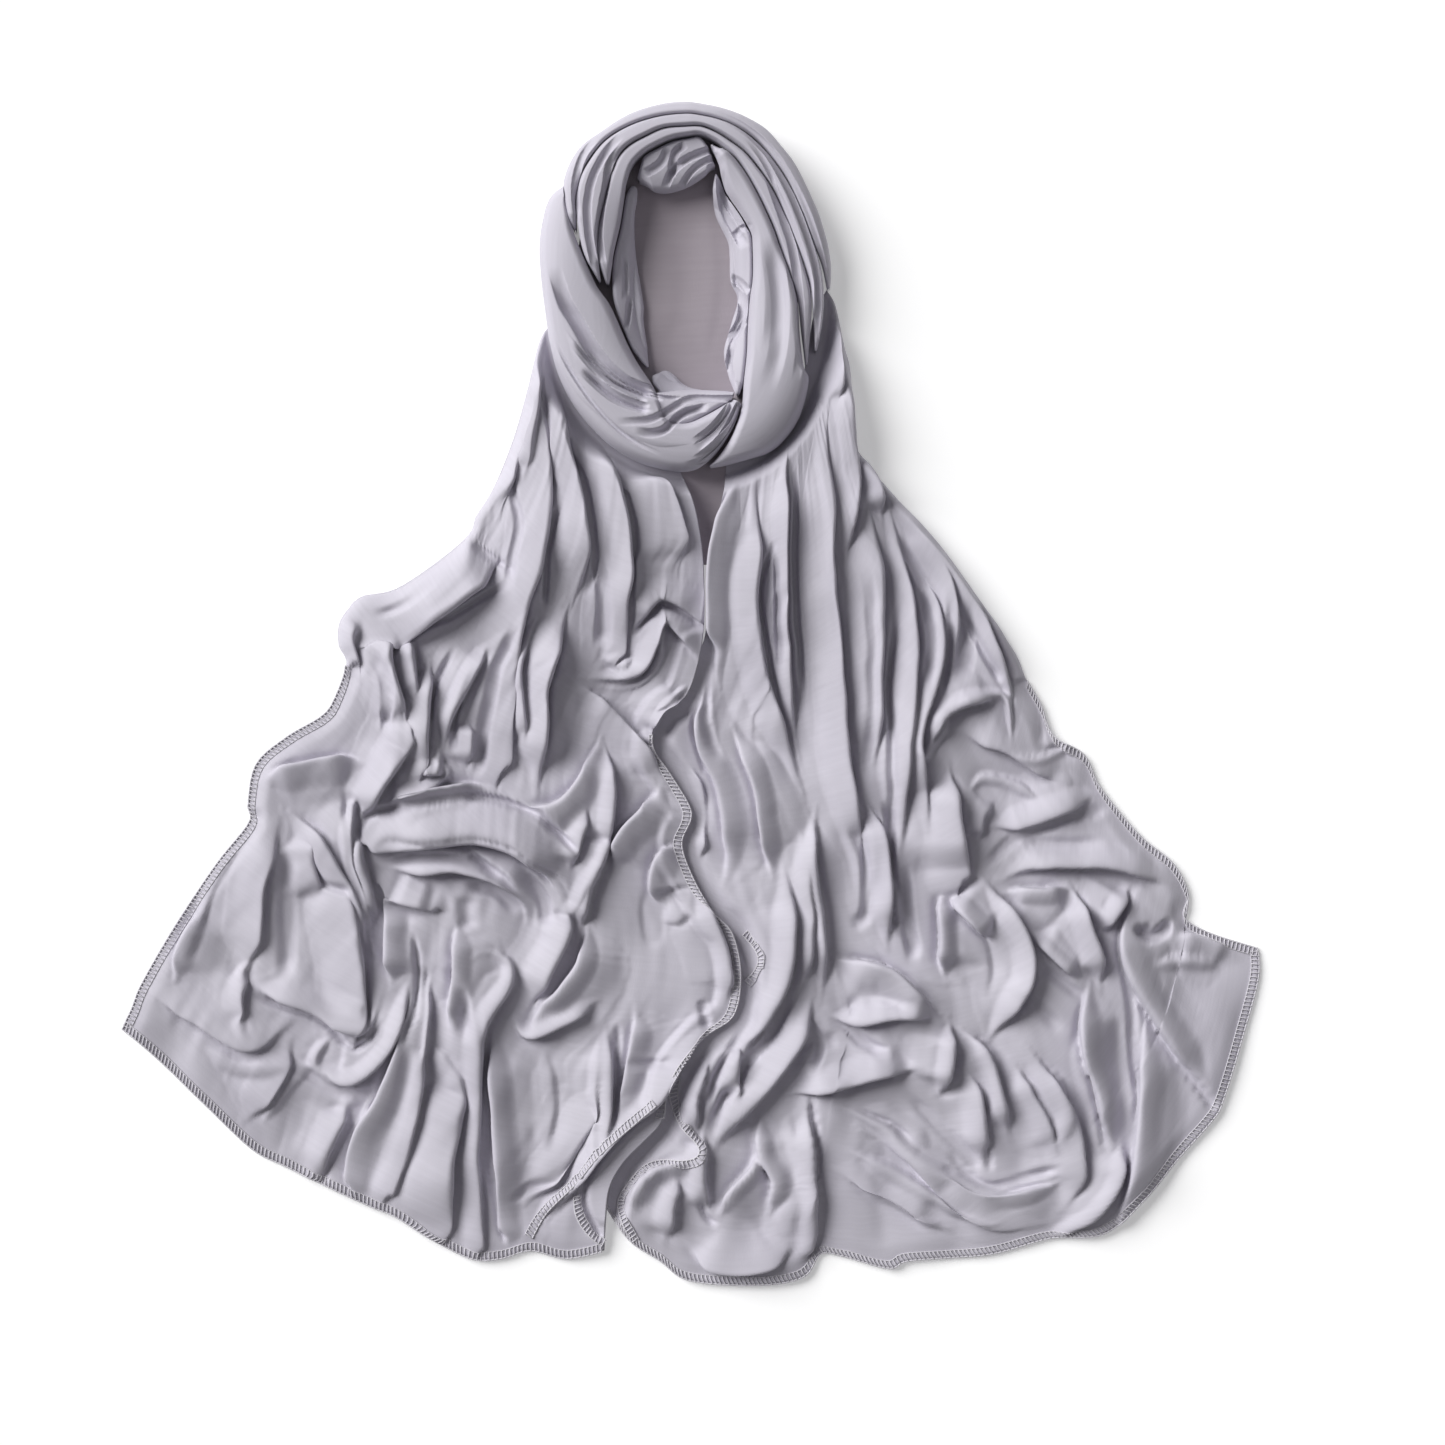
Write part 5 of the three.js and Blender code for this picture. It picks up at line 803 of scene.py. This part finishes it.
def edge_share(outline, fold_ends, hem, x, y):
    """The share of its height that a tail keeps near its edges: round where folded, sunk where raw."""
    side = beside(outline, x, y)[0]
    folded = y > (DATUM[1] - fold_ends) * SQUARE
    sunk = HEM_LOW + (1 - HEM_LOW) * ease(side / (2 * TURN))
    turned = np.where(folded, round_over(np.clip(side / TURN, 0, 1)), sunk)
    return turned * (END_LOW + (1 - END_LOW) * ease(beside(hem, x, y)[0] / (2 * TURN)))


def tail_surface(side, x, y):
    """Height of a tail's top face, and how far its folds lean over."""
    outlines, outer, rolls, creases = TAILS[side]
    share = edge_share(line_through(outer), FOLDED[side], line_through(outlines[1]), x, y)
    warp = [WARP * layered(WARP_LAYERS, x, y, seed) for seed in WARP_SEEDS]
    folds, lean = relief(folds_of(rolls), folds_of(creases), x + warp[0], y + warp[1])
    neck = NECK * (1 - ease((off_ring(x, y) - UNDER_RING - RING_CLEAR) / NECK_REACH))
    folds = folds + LOFT + LOFT_WAVE * layered(WAVE_LAYERS, x, y) + neck
    loose = share * freedom(x, y)
    off, hand, along, _ = beside(front_edge, x, y)
    lap = 0.0
    if side == "left":
        lap = LAP_LIFT * ease((LAP_WIDE - off) / LAP_TUCK)
    else:
        open_side = (hand > 0) | (along <= 0) | (along >= 1)
        loose = loose * np.where(open_side, ease((off - LAP_CLEAR) / LAP_RISE), 0.0)
    return CLOTH + lap + np.maximum(folds, 0) * loose, lean * loose[..., None]


def smoothed(z, rounds):
    out = z.copy()
    for _ in range(rounds):
        inner = (out[:-2, 1:-1] + out[2:, 1:-1] + out[1:-1, :-2] + out[1:-1, 2:]) / 4
        out[1:-1, 1:-1] = (out[1:-1, 1:-1] + inner) / 2
    return out


def crisper(z):
    """A height field with its valleys drawn deeper and its crests rounded, against its own smoothed form."""
    form = smoothed(z, FORM_ROUNDS)
    rise = z - form
    return form + np.where(rise < 0, VALLEY * rise, CREST * np.tanh(rise / CREST))


def make_tail(side):
    net = fine_net(TAILS[side][0], TAIL_ACROSS, TAIL_DOWN)
    x, y = net[..., 0], net[..., 1]
    z, lean = tail_surface(side, x, y)
    u, v = np.meshgrid(np.linspace(0, 1, TAIL_ACROSS + 1), np.linspace(0, 1, TAIL_DOWN + 1))
    rim = np.minimum(np.minimum(u, 1 - u) * RIPPLE_SIDES, (1 - v) * RIPPLE_HEM)
    ripple = layered(RIPPLE_LAYERS, u, v, RIPPLE_SEEDS[side]) * np.clip(rim, 0, 1) * freedom(x, y)
    z = np.maximum(crisper(z), CLOTH) + ripple
    points = smoothed(np.dstack([net + lean, z]), 1)
    border = border_of(net)
    points[border, :2] = net[border]
    return rimmed(f"cloth_{side}_tail", points, np.dstack([u, v]) * TAIL_UV, cloth), points


# Ring and hood back. A stretch has a rounded top between two walls that are drawn in towards its base.
RING_STEPS = 260
WIDTH_STEPS = 40
LEAST_TOPS = 14
TOPS_A_MM = 2.0
WALLS = 5
NARROWEST = 0.15
TAPER_LOW = 0.6
RING_ROUND = 1.6
RING_BELLY = 0.18
RING_BASE = 1.9
DRAWN_IN = 3.0
DRAWN_SHARE = 0.2
BACK_ACROSS = 60
BACK_DOWN = 170
BACK_UNDER = 4.0
BACK_LOW = 1.2
BACK_UV = (0.16, 0.3)


def make_stretch(name, facts, creases):
    full, rounding, first, last, widen, outer, inner = facts
    widest = np.linalg.norm(evenly(inner, WIDTH_STEPS) - evenly(outer, WIDTH_STEPS), axis=1).max()
    tops = int(LEAST_TOPS + widest * TOPS_A_MM)
    outer, inner = evenly(outer, RING_STEPS), evenly(inner, RING_STEPS)
    wide = np.linalg.norm(inner - outer, axis=1)
    unit = (inner - outer) / wide[:, None]
    outer, inner = outer - unit * widen, inner + unit * widen
    middle = (outer + inner) / 2
    run = run_along(middle)
    narrow = np.ones(len(run))
    for taper, gone in ((first, run), (last, run[-1] - run)):
        if taper:
            narrow *= NARROWEST + (1 - NARROWEST) * np.sqrt(np.clip(gone / taper, 0, 1))
    outer, inner = [middle + (line - middle) * narrow[:, None] for line in (outer, inner)]
    wide = (wide + 2 * widen) * narrow
    share = (1 - np.cos(np.linspace(0, math.pi, tops + 1))) / 2
    places = outer[:, None] + (inner - outer)[:, None] * share[None, :, None]
    x, y = places[..., 0], places[..., 1]
    off = np.minimum(share, 1 - share) * wide[:, None] / np.minimum(rounding, wide / 2)[:, None]
    top = full * arch(x, y) - rounding * RING_ROUND * (1 - round_over(np.clip(off, 0, 1)))
    top += relief([], creases, x, y)[0]
    top *= (TAPER_LOW + (1 - TAPER_LOW) * narrow)[:, None]
    top = RING_BASE + np.maximum(top, RING_BELLY * RING_HIGH * full)
    points = np.empty((len(run), 2 * WALLS + tops + 1, 3))
    points[:, WALLS:-WALLS] = np.dstack([places, top])
    drawn = unit * np.minimum(DRAWN_IN, wide * DRAWN_SHARE)[:, None]
    for k in range(WALLS):
        out = drawn * (1 - k / WALLS) ** 2
        for at, line, side in ((k, outer + out, 0), (-1 - k, inner - out, -1)):
            points[:, at, :2] = line
            points[:, at, 2] = RING_BASE + (top[:, side] - RING_BASE) * (k / WALLS)
    uv = np.dstack([run_along(points), run_along(points.swapaxes(0, 1)).T]) * MM
    return grid_mesh(name, points, uv, cloth), points


def make_back(name):
    left, right = numbers(BACK_LEFT), numbers(BACK_RIGHT)
    net = coons(left[:2] + right[:2], left[-2:] + right[-2:], left, right, BACK_ACROSS, BACK_DOWN)
    middle = (net[:, :1] + net[:, -1:]) / 2
    half = np.linalg.norm(net[:, -1:] - net[:, :1], axis=2, keepdims=True) / 2
    net = middle + (net - middle) * (half + BACK_UNDER) / half
    high, _ = relief([], folds_of(BACK_CREASES), net[..., 0], net[..., 1])
    points = np.dstack([net, BACK_LOW + high])
    u, v = np.meshgrid(np.linspace(0, 1, BACK_ACROSS + 1), np.linspace(0, 1, BACK_DOWN + 1))
    # The hood back takes the darker copy of the jersey, which has painted shade in its colour.
    return rimmed(name, points, np.dstack([u, v]) * BACK_UV, back_cloth_painted_shade), points


# Materials.
def wire(tree, node, **inputs):
    """Sets a node's inputs to values, or joins them to outputs. An underscore stands for a space."""
    for name, value in inputs.items():
        socket = node.inputs[name.replace("_", " ")]
        if isinstance(value, bpy.types.NodeSocket):
            tree.links.new(value, socket)
        else:
            socket.default_value = value
    return node


def add_node(tree, kind, **inputs):
    return wire(tree, tree.nodes.new("ShaderNode" + kind), **inputs)


def new_material(name, **inputs):
    material = bpy.data.materials.new(name)
    material.use_nodes = True
    tree = material.node_tree
    return material, tree, wire(tree, tree.nodes["Principled BSDF"], **inputs)


def add_ramp(tree, factor, places, tint, shades):
    """Two shades of a tint between two places of a ramp."""
    ramp = add_node(tree, "ValToRGB", Fac=factor)
    for element, at, shade in zip(ramp.color_ramp.elements, places, shades):
        element.position = at
        element.color = (*np.minimum(np.multiply(tint, shade), 1), 1)
    return ramp.outputs["Color"]


def jersey(name, tint):
    """Fine jersey with cross slubs, faint clouds of tone and wales."""
    material, tree, shader = new_material(
        name, Roughness=0.62, Specular_IOR_Level=0.28, Sheen_Weight=0.22, Sheen_Roughness=0.45,
        Sheen_Tint=(0.93, 0.92, 1.0, 1.0),
    )
    uv = add_node(tree, "UVMap")
    uv.uv_map = "UVMap"

    def texture(scale, detail, across, down):
        mapping = add_node(tree, "Mapping", Vector=uv.outputs["UV"], Scale=(across, down, 1.0))
        found = add_node(tree, "TexNoise", Vector=mapping.outputs["Vector"], Scale=scale, Detail=detail)
        return found.outputs["Fac"]

    slubs = texture(scale=100.0, detail=4.0, across=0.22, down=3.2)
    clouds = texture(scale=9.0, detail=2.0, across=1.0, down=1.0)
    wales = texture(scale=1000.0, detail=1.0, across=0.9, down=0.35)
    mix = add_node(tree, "Mix")
    mix.data_type = "RGBA"
    mix.blend_type = "MULTIPLY"
    slub_tone = add_ramp(tree, slubs, (0.3, 0.72), tint, (0.965, 1.025))
    cloud_tone = add_ramp(tree, clouds, (0.3, 0.7), (1, 1, 1), ((0.955, 0.95, 0.965), 1))
    wire(tree, mix, Factor=1.0, A=slub_tone, B=cloud_tone)
    knit = add_node(tree, "Bump", Strength=0.25, Distance=0.0003, Height=wales)
    knit = add_node(tree, "Bump", Strength=0.14, Distance=0.0006, Height=slubs, Normal=knit.outputs["Normal"])
    wire(tree, shader, Base_Color=mix.outputs["Result"], Normal=knit.outputs["Normal"])
    return material


def matt_thread(name, tint):
    material, tree, shader = new_material(name, Roughness=0.7, Sheen_Weight=0.3)
    place_on = add_node(tree, "TexCoord").outputs["Object"]
    grain = add_node(tree, "TexNoise", Vector=place_on, Scale=900.0).outputs["Fac"]
    wire(tree, shader, Base_Color=add_ramp(tree, grain, (0, 1), tint, (0.85, 1.12)))
    return material


cloth = jersey("jersey_cloth", (0.545, 0.525, 0.585))
# The hood back is the same jersey, made darker and more mauve: painted shade for the shadow inside the ring's
# opening.
back_cloth_painted_shade = jersey("jersey_back_painted_shade", (0.405, 0.36, 0.395))
thread = matt_thread("overlock_thread", (0.62, 0.60, 0.645))


def take(node, result):
    obj, points = result
    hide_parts(node)
    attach(obj, "root")
    return points


take("hood_back", make_back("cloth_hood_back"))
ring_creases = folds_of(RING_CREASES)
for node, facts in STRETCHES.items():
    take(node, make_stretch("cloth_" + node, facts, ring_creases))
left_net = take("left_tail", make_tail("left"))
right_net = take("right_tail", make_tail("right"))

# Overlock: slanted thread loops over the raw edge, a thin chain along it and a needle line beside it.
STITCH = 3.0
BITE = 5.4
SLANT = 1.2
OUTWARD = 1.5
THREAD = 0.5
CHAIN = 0.62
CHAIN_OUT = 0.45
CHAIN_UP = (-0.05, 0.35)
CHAIN_LOW = 0.7
NEEDLE = 0.36
THREAD_SIDES = 4
CHAIN_SIDES = 5
NEEDLE_UP = (0.3, 0.5)
UP = np.array([0.0, 0.0, 1.0])
UPRIGHT = 1e-3

# A loop's places: by its hole (0), its middle (1) or the raw edge (2), and how far up and out from there.
LOOP = ((0, -0.1, 0), (0, 0.45, 0), (1, 0.6, 0), (2, 0.45, 0.1), (2, -0.3, 0.75), (2, -1.0, 0.3))


def tube(points, radius, sides):
    """Vertices and faces of a thin tube along points, open at its ends."""
    way = np.gradient(points, axis=0)
    way /= np.maximum(np.linalg.norm(way, axis=1, keepdims=True), TINY)
    side = np.cross(way, UP)
    side[np.linalg.norm(side, axis=1) < UPRIGHT] = (1.0, 0.0, 0.0)
    side /= np.linalg.norm(side, axis=1, keepdims=True)
    angles = np.linspace(0, 2 * math.pi, sides, endpoint=False)[None, :, None]
    ring = np.cos(angles) * side[:, None] + np.sin(angles) * np.cross(side, way)[:, None]
    start = np.arange(len(points) - 1)[:, None] * sides
    a = start + np.arange(sides)
    b = start + (np.arange(sides) + 1) % sides
    faces = np.stack([a, b, b + sides, a + sides], axis=-1).reshape(-1, 4)
    return (points[:, None] + radius * ring).reshape(-1, 3), faces


def stitched(rows, start, end):
    """The tubes of the stitching along an edge, from its border row and the rows next to it."""
    lengths = run_along(rows[0])
    first, last = start * lengths[-1], end * lengths[-1]

    def at(row, s):
        return np.array([np.interp(s, lengths, row[:, k]) for k in range(3)])

    def inwards(s, deep):
        """The surface at a depth in from the edge, found over the rows next to it."""
        before = at(rows[0], s)
        gone = 0.0
        for row in rows[1:]:
            here = at(row, s)
            step = np.linalg.norm(here - before)
            if gone + step >= deep and step > TINY:
                return before + (here - before) * (deep - gone) / step
            gone += step
            before = here
        return before

    tubes, chain, needle = [], [], []
    for k in range(int((last - first) / STITCH) + 1):
        s = first + k * STITCH
        rim = at(rows[0], s)
        spots = (inwards(max(s - SLANT, 0.0), BITE), inwards(max(s - SLANT / 2, 0.0), BITE / 2), rim)
        out = rim - inwards(s, OUTWARD)
        out[2] = 0.0
        out /= max(np.linalg.norm(out), TINY)
        loop = np.array([spots[spot] + UP * up + out * wide for spot, up, wide in LOOP])
        loop[:, 2] = np.maximum(loop[:, 2], THREAD)
        tubes.append(tube(loop, THREAD, THREAD_SIDES))
        chain.append(rim + out * CHAIN_OUT + UP * CHAIN_UP[k % 2])
        needle.append(inwards(s, BITE) + UP * NEEDLE_UP[k % 2])
    if len(chain) > 2:
        rope = np.array(chain)
        rope[:, 2] = np.maximum(rope[:, 2], CHAIN_LOW)
        tubes += [tube(rope, CHAIN, CHAIN_SIDES), tube(np.array(needle), NEEDLE, THREAD_SIDES)]
    return tubes


def overlock(name, runs):
    tubes = [found for run in runs for found in stitched(*run)]
    shifts = np.cumsum([0] + [len(vertices) for vertices, _ in tubes])
    faces = np.concatenate([faces + shift for (_, faces), shift in zip(tubes, shifts)])
    obj = add_mesh(name, np.concatenate([vertices for vertices, _ in tubes]), faces, thread)
    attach(obj, "root")
    return obj


# Sewn edges. Each has the rows of a net beside it, and the shares of its length between which it is sewn.
EDGE_ROWS = {"hem": 6, "west": 8, "east": 8}
LAID_STEPS = 70
LAID_ROWS = 7
LAID_APART = 1.1
LAID_HIGH = 0.3
TURNED_EDGE = "67.2 107.8 67 110 68 112.5 70 114.8 69 116 65 116.4 62.5 119 61.8 121 63.2 124.4"
TURNED_TIP = "65.6 110.4 64 111.8 60 115.3 57.5 118.4 54.6 121.4 53 124.2"
TIP_EDGE = "57.4 119.8 57.6 121.6 58.6 123.4 60.2 124.8"
PEEPING_EDGE = "74.3 93.6 75.4 94.8 75.9 96 75.4 97.4 74.2 98.4"


def net_edge(net, edge, start=None, end=None):
    """A net's own edge, sewn between two places down the sheet or to its ends."""
    inward = {"hem": net[::-1], "west": net.swapaxes(0, 1), "east": net.swapaxes(0, 1)[::-1]}[edge]
    rows = inward[:EDGE_ROWS[edge]]
    lengths = run_along(rows[0])

    def share_below(square):
        return lengths[np.flatnonzero(rows[0][:, 1] < (DATUM[1] - square) * SQUARE)[0]] / lengths[-1]

    return rows, share_below(start) if start else 0.0, share_below(end) if end else 1.0


def laid_edge(net, path, hand):
    """An edge that lies on the cloth along a path, with lines beside it on one hand."""
    line = evenly(path, LAID_STEPS)
    way = np.gradient(line, axis=0)
    side = hand * left_of(way / np.linalg.norm(way, axis=1)[:, None])
    places = net.reshape(-1, 3)
    rows = []
    for k in range(LAID_ROWS):
        spots = line + side * LAID_APART * k
        near = [np.argmin(((places[:, :2] - spot) ** 2).sum(axis=1)) for spot in spots]
        rows.append(np.column_stack([spots, places[near, 2] + LAID_HIGH]))
    return rows, 0.0, 1.0


overlock_left = overlock("overlock_left_tail", [
    net_edge(left_net, "hem"),
    net_edge(left_net, "west", FOLDED["left"]),
    net_edge(left_net, "east", 73.4, 112),
    laid_edge(left_net, TURNED_TIP, -1),
    laid_edge(left_net, TIP_EDGE, 1),
])
overlock_right = overlock("overlock_right_tail", [
    net_edge(right_net, "hem"),
    net_edge(right_net, "east", FOLDED["right"]),
    net_edge(right_net, "west", 111.5),
    laid_edge(right_net, TURNED_EDGE, 1),
    laid_edge(right_net, PEEPING_EDGE, 1),
])

# Floor, light and camera.
FLOOR = 30000.0
SKY = 0.12
KEY = 3.94
FILL = 0.24
CAMERA = (0.02205, -0.01785, 2.2)
SENSOR = 36
SHEET_HIGH = 0.012
SHEET_WIDE = 1.0115

paper, _, _ = new_material(
    "white_floor", Base_Color=(0.92, 0.92, 0.92, 1), Roughness=0.9, Specular_IOR_Level=0.1,
    Emission_Color=(1, 1, 1, 1), Emission_Strength=0.26,
)
corners = [(-FLOOR, -FLOOR, 0), (FLOOR, -FLOOR, 0), (FLOOR, FLOOR, 0), (-FLOOR, FLOOR, 0)]
floor = add_mesh("floor", corners, np.array([[0, 1, 2, 3]]), paper)

world = bpy.data.worlds.new("studio")
bpy.context.scene.world = world
world.use_nodes = True
wire(world.node_tree, world.node_tree.nodes["Background"], Color=(0.97, 0.965, 1.0, 1), Strength=SKY)


def sun(name, azimuth, height, strength, soft):
    lamp = bpy.data.lights.new(name, "SUN")
    lamp.energy = strength
    lamp.angle = math.radians(soft)
    add_object(name, lamp).rotation_euler = (0, math.radians(90 - height), math.radians(azimuth))


sun("key", azimuth=146, height=32, strength=KEY, soft=44)
sun("fill", azimuth=330, height=55, strength=FILL, soft=80)

camera = add_object("camera", bpy.data.cameras.new("camera"))
camera.data.sensor_width = SENSOR
camera.data.lens = SENSOR * (CAMERA[2] - SHEET_HIGH) / SHEET_WIDE
camera.location = CAMERA
bpy.context.scene.camera = camera
bpy.context.scene.view_settings.view_transform = "Standard"
